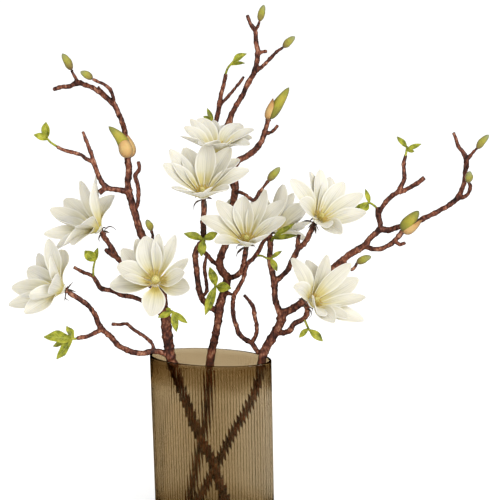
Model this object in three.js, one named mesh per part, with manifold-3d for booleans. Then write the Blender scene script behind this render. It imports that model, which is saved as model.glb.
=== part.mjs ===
// Three cut magnolia branches in full bloom, standing in an oval fluted glass vase.
// Millimetres, +Z up. The origin is the centre of the vase's foot, on the surface it stands on.
import * as THREE from "three";
import { mergeVertices } from "three/addons/utils/BufferGeometryUtils.js";
import Module from "manifold-3d";

// ---- driving dimensions ----
const VASE_HEIGHT = 270;
const VASE_LENGTH = 195; // long axis of the oval, over the ridges
const VASE_WIDTH = 88; // short axis of the oval, over the ridges
const VASE_WALL = 4;
const VASE_FLOOR = 9;
const VASE_TURN = -14; // degrees about Z: the left end of the oval stands further back
const FLUTES = 100;
const FLUTE_DEPTH = 1.3;

const SEAT_GAP = 0.3; // between pieces that touch
const PETAL_LENGTH = 84;
const PETAL_WIDTH = 31;
const PETAL_THICKNESS = 1.1;
const CORE_HEIGHT = 8;
const CORE_RADIUS = 9;
const ROOT_RADIUS = 7; // of the ring that the petals start from, inside the core
const HEART_HEIGHT = 13;
const HEART_RADIUS = 4;
const HEART_ROOM = 6.4; // radius that the petals leave free round the heart
const STAMENS = 5;
const STAMEN_LENGTH = 11;
const SEPALS = 3;
const SEPAL_LENGTH = 17;
const LEAF_THICKNESS = 0.9;

// The branches are placed as they are seen from a point straight in front of the vase. A place is
// given as millimetres right and up in the plane through the vase's axis, as seen from there, and
// millimetres in front of that axis.
const VIEW_DISTANCE = 2600;
const VIEW_ELEVATION = THREE.MathUtils.degToRad(15);
const VIEW_ROLL = THREE.MathUtils.degToRad(1.2);
const FOOT_SEEN = [1.1, -32];
const VIEW_CENTRE = [57.6, 395.2];

function unroll(right, up) {
  const r = right - FOOT_SEEN[0];
  const u = up - FOOT_SEEN[1];
  return [
    r * Math.cos(VIEW_ROLL) + u * Math.sin(VIEW_ROLL),
    u * Math.cos(VIEW_ROLL) - r * Math.sin(VIEW_ROLL),
  ];
}

function seen(right, up, front) {
  const s = Math.sin(VIEW_ELEVATION);
  const c = Math.cos(VIEW_ELEVATION);
  const [cx, cu] = unroll(...VIEW_CENTRE);
  const [r, u] = unroll(right, up);
  const k = (u - cu) / (VIEW_DISTANCE * c);
  const high = (u - k * front) / (1 + k * s);
  const near = (high * s + front) / c;
  const wide = cx + ((r - cx) * (VIEW_DISTANCE - near)) / VIEW_DISTANCE;
  return new THREE.Vector3(wide, -front, high * c + near * s);
}

// ---- seeded numbers ----
function seeded(seed) {
  let state = seed;
  return () => {
    state = (state * 1664525 + 1013904223) % 4294967296;
    return state / 4294967296;
  };
}

// ---- solids ----
const wasm = await Module();
wasm.setup();

function solidOf(geometry) {
  const bare = new THREE.BufferGeometry();
  const flat = geometry.index ? geometry.toNonIndexed() : geometry;
  bare.setAttribute("position", flat.getAttribute("position"));
  const merged = mergeVertices(bare, 1e-4);
  return new wasm.Manifold(
    new wasm.Mesh({
      numProp: 3,
      vertProperties: merged.attributes.position.array,
      triVerts: new Uint32Array(merged.index.array),
    }),
  );
}

function geometryOf(solid) {
  const mesh = solid.getMesh();
  const positions = new Float32Array(mesh.numVert * 3);
  for (let i = 0; i < mesh.numVert; i++) {
    for (let k = 0; k < 3; k++) {
      positions[3 * i + k] = mesh.vertProperties[mesh.numProp * i + k];
    }
  }
  const geometry = new THREE.BufferGeometry();
  geometry.setAttribute("position", new THREE.BufferAttribute(positions, 3));
  geometry.setIndex(new THREE.BufferAttribute(new Uint32Array(mesh.triVerts), 1));
  geometry.computeVertexNormals();
  return geometry;
}

function joined(solids) {
  return solids.reduce((sum, solid) => sum.add(solid));
}

// The largest body of a solid, without the scraps that a cut leaves.
function largest(solid) {
  const bodies = solid.decompose();
  return bodies.reduce((best, body) => (body.volume() > best.volume() ? body : best));
}

function faceted(vertices, faces) {
  const geometry = new THREE.BufferGeometry();
  const flat = faces.flatMap((face) => face.flatMap((i) => vertices[i].toArray()));
  geometry.setAttribute("position", new THREE.Float32BufferAttribute(flat, 3));
  return solidOf(geometry);
}

// A closed skin over rings that have the same number of points, each ring running anticlockwise
// when seen against the direction from the first ring to the last.
function skin(rings) {
  const sides = rings[0].length;
  const vertices = rings.flat();
  const faces = [];
  for (let i = 0; i + 1 < rings.length; i++) {
    for (let j = 0; j < sides; j++) {
      const a = i * sides + j;
      const b = i * sides + ((j + 1) % sides);
      faces.push([a, b, b + sides]);
      faces.push([a, b + sides, a + sides]);
    }
  }
  const last = (rings.length - 1) * sides;
  for (let j = 1; j + 1 < sides; j++) {
    faces.push([0, j + 1, j]);
    faces.push([last, last + j, last + j + 1]);
  }
  return faceted(vertices, faces);
}

// A round, tapering, slightly knobbly stem through points that each have a diameter.
function stem(points, diameters, grow, random) {
  const curve = new THREE.CatmullRomCurve3(points, false, "centripetal");
  const spans = points.length - 1;
  const thick = Math.max(...diameters);
  const sides = thick > 9 ? 5 : thick > 2.7 ? 4 : 3;
  const steps = [];
  for (let i = 0; i < spans; i++) {
    const cuts = points[i].distanceTo(points[i + 1]) > 30 ? 2 : 1;
    for (let j = 0; j < cuts; j++) steps.push(i + j / cuts);
  }
  steps.push(spans);
  const centres = steps.map((s) => curve.getPoint(s / spans));
  const tangents = steps.map((s) => curve.getTangent(s / spans));
  centres[0].addScaledVector(tangents[0], -grow);
  centres.at(-1).addScaledVector(tangents.at(-1), grow);
  let across = new THREE.Vector3(0, 1, 0.3).cross(tangents[0]).normalize();
  const rings = centres.map((centre, i) => {
    across = across.clone().addScaledVector(tangents[i], -across.dot(tangents[i])).normalize();
    const other = tangents[i].clone().cross(across);
    const at = Math.min(Math.floor(steps[i]), spans - 1);
    const between = THREE.MathUtils.lerp(diameters[at], diameters[at + 1], steps[i] - at);
    const radius = (between / 2) * (0.94 + 0.12 * random()) + grow;
    return Array.from({ length: sides }, (_, j) => {
      const angle = (2 * Math.PI * j) / sides;
      return centre
        .clone()
        .addScaledVector(across, radius * Math.cos(angle))
        .addScaledVector(other, radius * Math.sin(angle));
    });
  });
  return skin(rings);
}

// A round solid turned from [radius, height] pairs, set with its foot at a place and its axis
// along a direction.
function turned(profile, place, direction, sides) {
  const outline = profile.map(([radius, height]) => new THREE.Vector2(radius, height));
  const geometry = new THREE.LatheGeometry(outline, sides);
  const axis = direction.clone().normalize();
  geometry.applyQuaternion(
    new THREE.Quaternion().setFromUnitVectors(new THREE.Vector3(0, 1, 0), axis),
  );
  geometry.translate(place.x, place.y, place.z);
  return solidOf(geometry);
}

// A blade from root to tip. Its face looks along `face`, it bows away from that side by `bow`
// and its edges rise towards it by `cup`, both as shares of its length and width.
const PETAL_OUTLINE = [0.16, 0.86, 1, 0.14];
const LEAF_OUTLINE = [0.14, 0.92, 0.8, 0.06];
const SLIM_OUTLINE = [0.16, 1, 0.08];

function blade(root, tip, face, width, thickness, bow, cup, outline) {
  const along = tip.clone().sub(root);
  const length = along.length();
  along.normalize();
  const inner = face.clone().addScaledVector(along, -face.dot(along)).normalize();
  const side = along.clone().cross(inner);
  const rows = outline.length;
  const top = [];
  const under = [];
  outline.forEach((share, i) => {
    const t = i / (rows - 1);
    const sink = -bow * length * 4 * t * (1 - t);
    for (const v of [-1, 0, 1]) {
      const half = (share * width) / 2;
      const point = root
        .clone()
        .addScaledVector(along, length * t)
        .addScaledVector(side, half * v)
        .addScaledVector(inner, sink + cup * width * share * share * v * v);
      top.push(point.clone().addScaledVector(inner, thickness / 2));
      under.push(point.clone().addScaledVector(inner, -thickness / 2));
    }
  });
  const vertices = [...top, ...under];
  const low = top.length;
  const faces = [];
  for (let i = 0; i + 1 < rows; i++) {
    for (let j = 0; j < 2; j++) {
      const a = 3 * i + j;
      const quad = [a, a + 1, a + 4, a + 3];
      faces.push([quad[0], quad[1], quad[2]], [quad[0], quad[2], quad[3]]);
      faces.push([quad[0] + low, quad[2] + low, quad[1] + low]);
      faces.push([quad[0] + low, quad[3] + low, quad[2] + low]);
    }
  }
  const rim = [0, 1];
  for (let i = 0; i < rows; i++) rim.push(3 * i + 2);
  rim.push(3 * rows - 2);
  for (let i = rows - 1; i > 0; i--) rim.push(3 * i);
  rim.forEach((a, i) => {
    const b = rim[(i + 1) % rim.length];
    faces.push([a, b + low, b], [a, a + low, b + low]);
  });
  return faceted(vertices, faces);
}

// ---- the vase ----
function ovalShape(long, wide, count, ripple) {
  const points = [];
  const fine = 4000;
  const lengths = [0];
  const at = (angle) => new THREE.Vector2((long / 2) * Math.cos(angle), (wide / 2) * Math.sin(angle));
  for (let i = 1; i <= fine; i++) {
    const step = at((2 * Math.PI * i) / fine).distanceTo(at((2 * Math.PI * (i - 1)) / fine));
    lengths.push(lengths[i - 1] + step);
  }
  let i = 0;
  for (let k = 0; k < count; k++) {
    const goal = (lengths[fine] * k) / count;
    while (lengths[i + 1] < goal) i++;
    const angle = (2 * Math.PI * i) / fine;
    const out = new THREE.Vector2(Math.cos(angle) / long, Math.sin(angle) / wide).normalize();
    points.push(at(angle).addScaledVector(out, k % 2 ? -ripple : 0));
  }
  return new THREE.Shape(points);
}

function vaseSolid(grow) {
  const outer = new THREE.ExtrudeGeometry(
    ovalShape(VASE_LENGTH + 2 * grow, VASE_WIDTH + 2 * grow, 2 * FLUTES, FLUTE_DEPTH),
    { depth: VASE_HEIGHT + grow, bevelEnabled: false },
  );
  const wall = 2 * (VASE_WALL + grow);
  const inner = new THREE.ExtrudeGeometry(
    ovalShape(VASE_LENGTH - wall, VASE_WIDTH - wall, FLUTES / 2, 0),
    { depth: VASE_HEIGHT, bevelEnabled: false },
  );
  inner.translate(0, 0, VASE_FLOOR + grow);
  return solidOf(outer).subtract(solidOf(inner));
}

// ---- what grows on the branches ----
// Each point of a stem is [right, up, front, diameter].
const LEFT_STEMS = [
  [[27, -34, 21, 15], [17, -4, 21, 15], [-5, 62, 17, 15], [-25, 100, 14, 15], [-40, 140, 11, 15],
    [-62, 202, 8, 16], [-69, 222, 8, 16], [-72, 242, 10, 16], [-76, 270, 13, 17],
    [-77, 290, 16, 15], [-81, 305, 18, 14], [-83, 322, 20, 16], [-90, 345, 18, 12], [-99, 375, 14, 10.5],
    [-107, 400, 12, 10], [-116, 420, 10, 11], [-122, 437, 8, 9.5], [-128, 460, 6, 10], [-136, 487, 3, 10],
    [-138, 503, 1, 8.5], [-136, 520, 0, 9], [-136, 540, 0, 7.5]],
  [[-136, 523, 0, 7], [-139, 540, -13, 7], [-141, 562, -19, 6.5], [-142, 582, -19, 6.5], [-147, 600, -18, 7],
    [-152, 612, -17, 6.5], [-160, 628, -18, 8], [-170, 637, -20, 6.5], [-180, 645, -22, 6], [-191, 653, -24, 6],
    [-205, 659, -26, 6], [-218, 663, -28, 7.5], [-232, 657, -31, 5.5], [-245, 656, -33, 5], [-257, 652, -35, 4]],
  [[-217, 662, -28, 4], [-222, 671, -29, 3.4], [-228, 683, -30, 3]],
  [[-160, 630, -18, 4.5], [-163, 645, -13, 4], [-169, 655, -11, 4], [-178, 661, -11, 3.6], [-187, 665, -12, 3.4],
    [-194, 669, -12, 3]],
  [[-160, 629, -18, 5], [-175, 644, -30, 4.5], [-186, 656, -38, 3.5]],
  [[-127, 458, 6, 5.5], [-122, 470, 12, 5], [-121, 485, 14, 5], [-122, 500, 15, 5], [-126, 514, 15, 5.5],
    [-120, 524, 15, 4.5], [-121, 537, 14, 3.5]],
  [[-137, 487, 3, 7], [-150, 491, 8, 7], [-165, 493, 12, 7], [-173, 496, 14, 8], [-181, 506, 15, 6.5],
    [-188, 523, 15, 6], [-193, 537, 14, 6.5], [-196, 548, 12, 5], [-201, 562, 10, 4.5], [-206, 574, 8, 4],
    [-210, 585, 6, 3]],
  [[-172, 496, 14, 7], [-178, 491, 17, 7], [-184, 487, 19, 6.5]],
  [[-193, 536, 14, 5], [-203, 540, 17, 4.5], [-212, 547, 19, 4.5], [-225, 551, 20, 4.5], [-240, 555, 20, 4],
    [-252, 561, 20, 3.5]],
  [[-84, 325, 20, 8], [-110, 345, 2, 8], [-136, 366, 0, 8], [-155, 383, 2, 8], [-161, 394, 4, 7.5],
    [-169, 406, 6, 7], [-179, 421, 8, 7.5]],
  [[-153, 382, 2, 5], [-165, 388, 8, 5], [-174, 397, 11, 4.5]],
  [[-84, 318, 20, 9], [-88, 327, 29, 8.5], [-92, 337, 38, 8.5]],
  [[-78, 287, 16, 7], [-92, 298, 14, 6.5], [-113, 313, 12, 6], [-130, 320, 12, 6], [-148, 323, 13, 6],
    [-162, 330, 14, 6], [-181, 334, 14, 6.5], [-188, 345, 13, 5.5], [-195, 354, 12, 5], [-210, 360, 10, 4.5],
    [-225, 368, 8, 3.5]],
  [[-73, 226, 8, 8], [-85, 232, 12, 8], [-99, 233, 17, 8], [-112, 230, 22, 8], [-127, 231, 27, 8],
    [-141, 236, 32, 8], [-152, 242, 36, 7.5], [-164, 255, 40, 8], [-176, 266, 44, 8], [-184, 275, 47, 8],
    [-189, 289, 50, 7], [-196, 300, 52, 7], [-206, 310, 54, 7], [-219, 319, 56, 7], [-232, 327, 58, 7.5]],
  [[-180, 268, 45, 6], [-192, 262, 50, 5.5], [-203, 257, 53, 5.5], [-213, 255, 55, 5], [-220, 254, 56, 4.5]],
  [[-96, 234, 16, 5], [-98, 243, 14, 4.5], [-105, 252, 12, 4.5], [-116, 260, 10, 4.5], [-130, 269, 9, 4],
    [-140, 277, 8, 4], [-151, 276, 7, 4], [-164, 277, 6, 3.5]],
  [[-107, 400, 12, 4], [-101, 409, 17, 3.6], [-98, 417, 20, 3.2], [-100, 427, 21, 3]],
];

const CENTRE_STEMS = [
  [[-46, -34, -20, 14], [-40, -4, -20, 14], [-24, 80, -24, 14], [-15, 120, -27, 14], [-10, 180, -30, 14],
    [-5, 225, -33, 14], [-2, 240, -34, 12], [3, 262, -32, 11],
    [7, 284, -30, 12], [8, 300, -28, 16], [12, 316, -28, 13], [18, 336, -28, 13], [21, 351, -26, 14],
    [14, 360, -24, 11], [9, 371, -22, 11.5], [12, 388, -20, 10], [19, 405, -18, 10], [25, 435, -16, 10],
    [30, 465, -16, 10], [33, 486, -18, 10], [34, 505, -22, 10], [32, 523, -26, 9.5], [37, 537, -29, 9],
    [50, 544, -32, 9], [63, 553, -34, 9], [74, 566, -36, 9.5], [80, 580, -38, 8.5], [84, 594, -40, 8],
    [87, 606, -41, 8]],
  [[21, 351, -26, 8], [31, 352, -14, 7.5], [41, 358, -4, 7.5], [46, 368, 4, 7], [49, 382, 10, 7],
    [51, 397, 16, 7.5]],
  [[80, 582, -38, 4.5], [90, 583, -32, 4], [96, 587, -29, 4], [102, 595, -27, 3.2]],
  [[5, 297, -28, 8], [-8, 305, -22, 8], [-18, 316, -16, 8], [-23, 328, -12, 8.5], [-26, 345, -9, 7.5],
    [-28, 365, -7, 8], [-30, 385, -5, 8], [-27, 398, -3, 8], [-19, 408, 0, 8], [-17, 425, 3, 7.5],
    [-17, 442, 6, 7.5], [-16, 458, 9, 7.5], [-16, 473, 12, 8]],
  [[-20, 320, -15, 5], [-12, 329, -19, 5], [-13, 348, -21, 5], [-15, 368, -20, 5], [-12, 386, -18, 4]],
  [[9, 371, -22, 6], [-1, 376, -18, 6], [-8, 384, -13, 6], [-18, 394, -8, 6], [-27, 399, -4, 6]],
  [[11, 315, -28, 5], [17, 322, -23, 5], [23, 326, -20, 5], [31, 323, -18, 4]],
  [[33, 492, -19, 8], [24, 520, -60, 8], [18, 555, -84, 8], [21, 585, -88, 8.5], [24, 598, -88, 11],
    [28, 612, -88, 7.5], [36, 627, -86, 7], [46, 644, -84, 7], [54, 661, -82, 7.5], [63, 676, -80, 7.5],
    [68, 693, -78, 7], [70, 711, -77, 7.5], [67, 729, -76, 6], [66, 745, -75, 6.5], [59, 756, -75, 5],
    [53, 771, -75, 3.5]],
  [[69, 709, -77, 5], [77, 712, -74, 4.5], [85, 713, -72, 3.5]],
  [[66, 745, -75, 4], [70, 753, -73, 3.6], [73, 762, -72, 3]],
  [[65, 680, -80, 5.5], [75, 687, -76, 5], [83, 694, -73, 5], [91, 703, -71, 5], [101, 713, -69, 4],
    [111, 720, -67, 3]],
  [[26, 513, -50, 7], [5, 548, -98, 6.5], [-1, 585, -108, 6.5], [5, 608, -106, 6.5], [9, 630, -103, 7],
    [11, 643, -101, 6], [15, 658, -99, 5.5], [19, 677, -97, 4.5]],
  [[9, 627, -103, 4.5], [21, 639, -108, 4.2], [32, 652, -112, 4], [41, 663, -115, 4], [48, 673, -117, 3.2]],
  [[33, 489, -19, 5], [46, 486, -4, 4.5], [57, 478, 6, 4.5], [64, 475, 8, 4.5], [73, 488, 8, 4.2],
    [80, 497, 8, 4], [87, 506, 8, 3.2]],
  [[24, 519, -58, 6.5], [14, 532, -54, 6.5], [8, 544, -50, 7]],
];

const RIGHT_STEMS = [
  [[-40, -34, 0, 14], [-25, -4, 0, 14], [8, 60, 2, 14], [30, 103, 4, 14], [55, 145, 6, 14], [72, 190, 9, 14],
    [78, 225, 13, 14], [84, 240, 8, 14],
    [92, 253, 9, 14], [99, 265, 10, 13], [106, 278, 10, 14], [110, 293, 10, 15], [117, 297, 8, 12],
    [127, 302, 5, 11], [141, 312, 1, 10.5], [158, 328, -4, 10], [176, 348, -8, 10], [195, 370, -12, 10],
    [206, 379, -13, 9.5], [217, 388, -14, 9.5], [229, 395, -15, 10], [241, 403, -16, 9.5], [250, 414, -17, 8],
    [258, 421, -18, 8], [266, 428, -18, 10], [280, 427, -17, 8], [292, 431, -15, 8], [305, 435, -15, 7.5],
    [322, 439, -16, 7.5], [336, 446, -17, 8.5], [351, 453, -18, 7.5], [366, 461, -19, 7.5], [380, 470, -20, 8],
    [391, 480, -20, 9], [396, 491, -20, 7], [401, 506, -20, 7], [402, 521, -20, 7], [404, 537, -20, 8],
    [399, 551, -20, 5.5], [391, 561, -20, 5], [387, 573, -20, 4.5], [383, 583, -20, 3.5]],
  [[109, 291, 10, 10], [103, 301, 11, 9], [98, 316, 11, 8.5], [97, 331, 10, 8.5], [96, 346, 8, 9],
    [93, 361, 4, 8], [89, 380, 0, 8], [90, 396, -4, 8], [90, 410, -8, 8], [89, 419, -11, 8.5]],
  [[97, 343, 8, 7], [110, 355, 12, 7], [118, 363, 15, 7], [123, 375, 17, 7], [129, 386, 18, 7.5],
    [134, 396, 19, 7], [140, 401, 20, 6.5], [147, 409, 22, 7], [153, 421, 24, 7], [158, 432, 26, 7.5]],
  [[133, 394, 19, 6], [134, 408, 16, 6], [136, 420, 14, 5]],
  [[265, 427, -18, 7], [266, 437, -20, 7], [263, 450, -22, 7], [261, 464, -24, 6]],
  [[263, 452, -22, 6], [272, 468, -18, 6.5], [285, 482, -16, 6.5], [294, 488, -15, 7], [299, 497, -15, 6],
    [304, 506, -16, 6], [304, 520, -16, 5.5], [304, 535, -16, 5], [307, 547, -16, 4]],
  [[292, 487, -15, 6], [304, 490, -11, 6], [315, 496, -9, 6], [325, 502, -8, 6.5], [337, 511, -7, 5.5]],
  [[403, 537, -20, 5], [409, 545, -17, 4.5], [415, 552, -15, 4], [421, 558, -14, 3.2]],
  [[391, 479, -20, 5.5], [400, 480, -14, 5], [408, 488, -10, 5], [410, 498, -8, 5], [407, 504, -4, 4]],
  [[239, 402, -16, 6.5], [254, 397, -8, 6.5], [266, 397, -2, 6.5], [278, 402, 2, 6.5], [288, 409, 5, 6.5],
    [296, 418, 7, 7], [302, 426, 8, 7.5]],
  [[290, 409, 5, 5], [298, 404, 9, 4.6], [306, 407, 11, 4]],
  [[97, 262, 10, 8], [110, 263, 18, 7.5], [121, 266, 26, 8], [128, 277, 32, 7], [140, 283, 38, 7],
    [147, 290, 42, 7], [150, 301, 45, 7.5]],
  [[206, 379, -13, 4.5], [214, 369, -6, 4], [221, 364, -3, 4], [226, 369, -1, 3.4], [229, 375, 0, 3]],
  [[80, 227, 7, 7], [69, 234, -2, 7], [60, 246, -8, 6.5], [49, 253, -12, 6.5], [41, 260, -14, 7],
    [36, 273, -14, 6], [31, 290, -12, 6], [30, 305, -11, 6.5], [32, 322, -10, 6], [40, 336, -10, 6],
    [47, 350, -10, 5.5], [53, 372, -9, 6], [62, 381, -8, 5.5], [70, 391, -8, 6], [77, 405, -9, 5],
    [86, 418, -10, 5]],
  [[60, 246, -8, 6], [68, 262, -3, 5.5], [68, 276, 0, 5.5], [65, 290, 2, 5.5], [63, 303, 3, 6],
    [57, 313, 5, 5], [48, 323, 7, 4]],
];

// Each bloom is [right, up, front] of its base, the [right, up, depth] that its axis points along,
// and a petal for each [right, up, side] of a tip: side is how far, as a share of the length that
// is left, the tip leans to the viewer (1) or away (-1).
const BLOOMS = [
  { branch: 0, base: [-238, 331, 59], axis: [-0.86, 0.36, 0.36], tips: [
    [-272, 412, 0.5], [-295, 388, 0.8], [-327, 337, 0.4], [-329, 313, -0.5], [-297, 299, 0.75],
    [-254, 409, -0.9], [-306, 372, -0.9], [-290, 350, 1], [-248, 392, 0.95]] },
  { branch: 0, base: [-181, 425, 9], axis: [-0.72, 0.66, 0.2], tips: [
    [-197, 516, 0.3], [-220, 506, -0.6], [-265, 463, 0.6], [-272, 421, 0.3], [-252, 398, 0.75],
    [-168, 486, 0.85], [-248, 468, -0.9], [-228, 462, 1]] },
  { branch: 0, base: [-93, 341, 42], axis: [0.02, 0.3, 0.95], tips: [
    [-112, 410, 0.9], [-90, 418, 0.5], [-63, 415, 0.8], [-34, 370, 0.7], [-33, 322, 0.9],
    [-98, 292, 0.95], [-162, 337, 0.9], [-150, 397, 0.6]] },
  { branch: 1, base: [6, 549, -48], axis: [-0.05, 0.86, -0.3], tips: [
    [-53, 573, 0.5], [-43, 590, -0.5], [-36, 606, 0.2], [-12, 609, -0.5], [42, 597, 0.6],
    [62, 588, -0.3], [57, 562, 0.7]] },
  { branch: 1, base: [-17, 479, 14], axis: [-0.05, 0.72, 0.68], tips: [
    [-72, 557, 0.3], [-80, 533, 0.8], [-12, 568, 0.4], [55, 525, 0.5], [-62, 495, 0.95],
    [20, 490, 0.95], [25, 553, -0.4], [-40, 562, -0.5]] },
  { branch: 1, base: [52, 403, 19], axis: [0.02, 0.72, 0.69], tips: [
    [5, 475, 0.3], [50, 484, 0.4], [88, 478, 0.4], [-22, 452, 0.6], [5, 410, 0.98],
    [125, 450, 0.5], [98, 424, 0.95], [60, 456, 0.97]] },
  { branch: 2, base: [91, 424, -13], axis: [0.6, 0.62, -0.45], tips: [
    [113, 500, -0.3], [150, 468, -0.3], [158, 440, -0.5], [70, 492, -0.5], [132, 486, -0.9],
    [148, 412, -0.6], [90, 470, -1]] },
  { branch: 2, base: [162, 439, 28], axis: [0.6, 0.64, 0.46], tips: [
    [124, 508, 0.3], [155, 526, 0.4], [180, 522, -0.3], [212, 505, 0.3], [240, 482, 0.4],
    [243, 455, -0.3], [205, 420, 0.8], [190, 478, 0.98]] },
  { branch: 2, base: [152, 307, 48], axis: [0.74, 0.52, 0.42], tips: [
    [124, 345, 0.8], [128, 383, 0.4], [182, 388, 0.3], [220, 372, 0.3], [233, 350, 0.6],
    [240, 321, -0.2], [238, 285, 0.4], [205, 291, 0.8]] },
];

// Each small bud is [right, up, front] of its base and of its tip, and its diameter.
const SMALL_BUDS = [
  { name: "left_tip", branch: 0, base: [-228, 684, -30], tip: [-243, 710, -34], width: 12 },
  { name: "left_upper", branch: 0, base: [-195, 669.5, -12], tip: [-214, 680, -8], width: 11 },
  { name: "left_inner", branch: 0, base: [-100, 427, 21], tip: [-108, 444, 24], width: 11 },
  { name: "centre_side", branch: 1, base: [87, 506, 8], tip: [106, 528, 12], width: 12 },
  { name: "centre_top", branch: 1, base: [73, 762, -72], tip: [80, 788, -70], width: 12 },
  { name: "centre_outer", branch: 1, base: [111, 720, -67], tip: [130, 737, -62], width: 12 },
  { name: "right_lower", branch: 2, base: [229, 375, 0], tip: [252, 385, 8], width: 12 },
  { name: "right_tip", branch: 2, base: [421, 558, -14], tip: [440, 580, -10], width: 12 },
  { name: "right_upper", branch: 2, base: [407, 504, -4], tip: [409, 521, 8], width: 14 },
];

// Each swelling flower bud is [right, up, front] of its base and tip, and its diameter.
const BIG_BUDS = [
  { name: "left", branch: 0, base: [-136, 542, 0], tip: [-166, 594, 14], width: 27 },
  { name: "centre", branch: 1, base: [87.5, 608, -41], tip: [119, 657, -32], width: 23 },
  { name: "right", branch: 2, base: [303, 428, 8.5], tip: [331, 460, 26], width: 27 },
];

// Each sprig is a stalk through [right, up, front, diameter] points, and leaves that are each
// [right, up, front] of a base and a tip, and a width.
const SPRIGS = [
  { name: "left_arm", stalk: [[-250, 560, 20, 2.6], [-262, 568, 21, 2.4], [-268, 575, 22, 2.2]], leaves: [
    [[-268, 574, 22], [-268, 601, 30], 15], [[-266, 572, 22], [-288, 580, 28], 12]] },
  { name: "left_twig", stalk: [[-193, 353, 13, 2.6], [-193, 366, 20, 2.4], [-190, 380, 24, 2.2]], leaves: [
    [[-190, 378, 24], [-208, 395, 32], 17], [[-191, 376, 24], [-186, 399, 22], 9]] },
  { name: "left_low", stalk: [[-218, 254, 56, 2.6], [-224, 253, 57, 2.6], [-230, 254, 58, 2.4]], leaves: [
    [[-226, 253, 57], [-272, 257, 68], 19], [[-224, 253, 57], [-236, 274, 50], 11],
    [[-227, 252, 58], [-252, 220, 66], 14], [[-226, 253, 57], [-258, 241, 42], 11]] },
  { name: "left_trunk", stalk: [[-76, 294, 18, 2.6], [-68, 297, 30, 2.6], [-66, 297, 33, 2.4]], leaves: [
    [[-66, 297, 32], [-88, 285, 38], 14], [[-66, 297, 32], [-61, 266, 40], 15],
    [[-66, 297, 32], [-48, 283, 38], 12]] },
  { name: "centre_limb", stalk: [[-17, 414, 1, 2.6], [-17, 413, 9, 2.5], [-17, 412, 15, 2.4]], leaves: [
    [[-17, 412, 14], [-49, 421, 20], 14], [[-17, 412, 14], [6, 423, 11], 13],
    [[-17, 412, 14], [-20, 385, 20], 14]] },
  { name: "centre_trunk", stalk: [[16, 334, -27, 2.6], [7, 337, -14, 2.6], [1, 338, -9, 2.4]], leaves: [
    [[3, 338, -11], [-8, 369, -2], 14], [[4, 337, -12], [27, 334, 4], 17], [[3, 338, -11], [-14, 291, 3], 15]] },
  { name: "centre_top", stalk: [[18, 675, -97, 2.6], [22, 686, -96, 2.6], [31, 697, -95, 2.4]], leaves: [
    [[30, 696, -95], [51, 710, -90], 13], [[26, 691, -95], [50, 695, -100], 7]] },
  { name: "centre_twig", stalk: [[4, 603, -106, 2.6], [1, 601, -103, 2.5], [-3, 599, -100, 2.4]], leaves: [
    [[-2.2, 599.4, -100.8], [-17, 609, -104], 10], [[-1.4, 599.8, -101.4], [-11, 622, -108], 8]] },
  { name: "right_limb", stalk: [[91, 409, -7, 2.6], [93, 413, 0, 2.5], [94, 415, 3, 2.4]], leaves: [
    [[93, 414, 1], [131, 437, 8], 9], [[94, 413, 1], [133, 419, 6], 9]] },
  { name: "right_twig", stalk: [[66, 386, -8, 2.6], [76, 386, -2, 2.4], [85, 382, 8, 2.3], [92, 382, 13, 2.2]],
    leaves: [[[91, 382, 12], [109, 394, 15], 7], [[91, 382, 12], [101, 361, 20], 10]] },
  { name: "right_outer", stalk: [[262, 461, -24, 2.6], [254, 468, -22, 2.6], [246, 472, -20, 2.4]], leaves: [
    [[247, 471, -20], [234, 457, -14], 15], [[249, 470, -21], [241, 499, -18], 10],
    [[248, 471, -21], [222, 461, -26], 7]] },
  { name: "right_arm", stalk: [[306, 544, -16, 2.6], [308, 554, -14, 2.6], [309, 561, -13, 2.4]], leaves: [
    [[309, 559, -13], [290, 579, -8], 15], [[308, 556, -14], [332, 567, -6], 14],
    [[308, 554, -14], [321, 553, -18], 8]] },
  { name: "right_low", stalk: [[144, 286, 40, 2.6], [149, 274, 50, 2.6], [153, 266, 54, 2.4]], leaves: [
    [[152, 268, 53], [174, 249, 58], 13], [[151, 270, 52], [136, 255, 56], 9]] },
];

const place = ([right, up, front]) => seen(right, up, front);
const VIEWER = new THREE.Vector3(0, -Math.cos(VIEW_ELEVATION), Math.sin(VIEW_ELEVATION));
const VIEW_UP = new THREE.Vector3(0, Math.sin(VIEW_ELEVATION), Math.cos(VIEW_ELEVATION));

function axisOf([right, up, depth]) {
  return new THREE.Vector3(right, 0, 0)
    .addScaledVector(VIEW_UP, up)
    .addScaledVector(VIEWER, depth)
    .normalize();
}

function squareTo(axis) {
  const other = Math.abs(axis.z) < 0.8 ? new THREE.Vector3(0, 0, 1) : new THREE.Vector3(1, 0, 0);
  const across = other.cross(axis).normalize();
  return [across, axis.clone().cross(across)];
}

// Thin curled sepals that hang back from the stalk just under a bloom.
function sepals(bloom, grow, random) {
  const axis = axisOf(bloom.axis);
  const base = place(bloom.base);
  const [across, other] = squareTo(axis);
  return Array.from({ length: SEPALS }, (_, i) => {
    const angle = (2 * Math.PI * (i + 0.6 * random())) / SEPALS;
    const out = across.clone().multiplyScalar(Math.cos(angle)).addScaledVector(other, Math.sin(angle));
    const long = SEPAL_LENGTH * (0.8 + 0.4 * random());
    const back = 0.15 + 0.5 * random();
    const path = [[1, 0], [0.55 * long, -0.12], [long, -back]].map(([reach, drop]) =>
      base
        .clone()
        .addScaledVector(out, reach)
        .addScaledVector(axis, -3 + long * drop),
    );
    return stem(path, [2.6, 2.4, 1.1], grow, random);
  });
}

// The stalk's end under a bloom, square to the bloom's axis.
function receptacle(bloom, grow) {
  const axis = axisOf(bloom.axis);
  const profile = [[0, -9 - grow], [3 + grow, -9 - grow], [5 + grow, grow], [0, grow]];
  return turned(profile, place(bloom.base), axis, 6);
}

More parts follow.
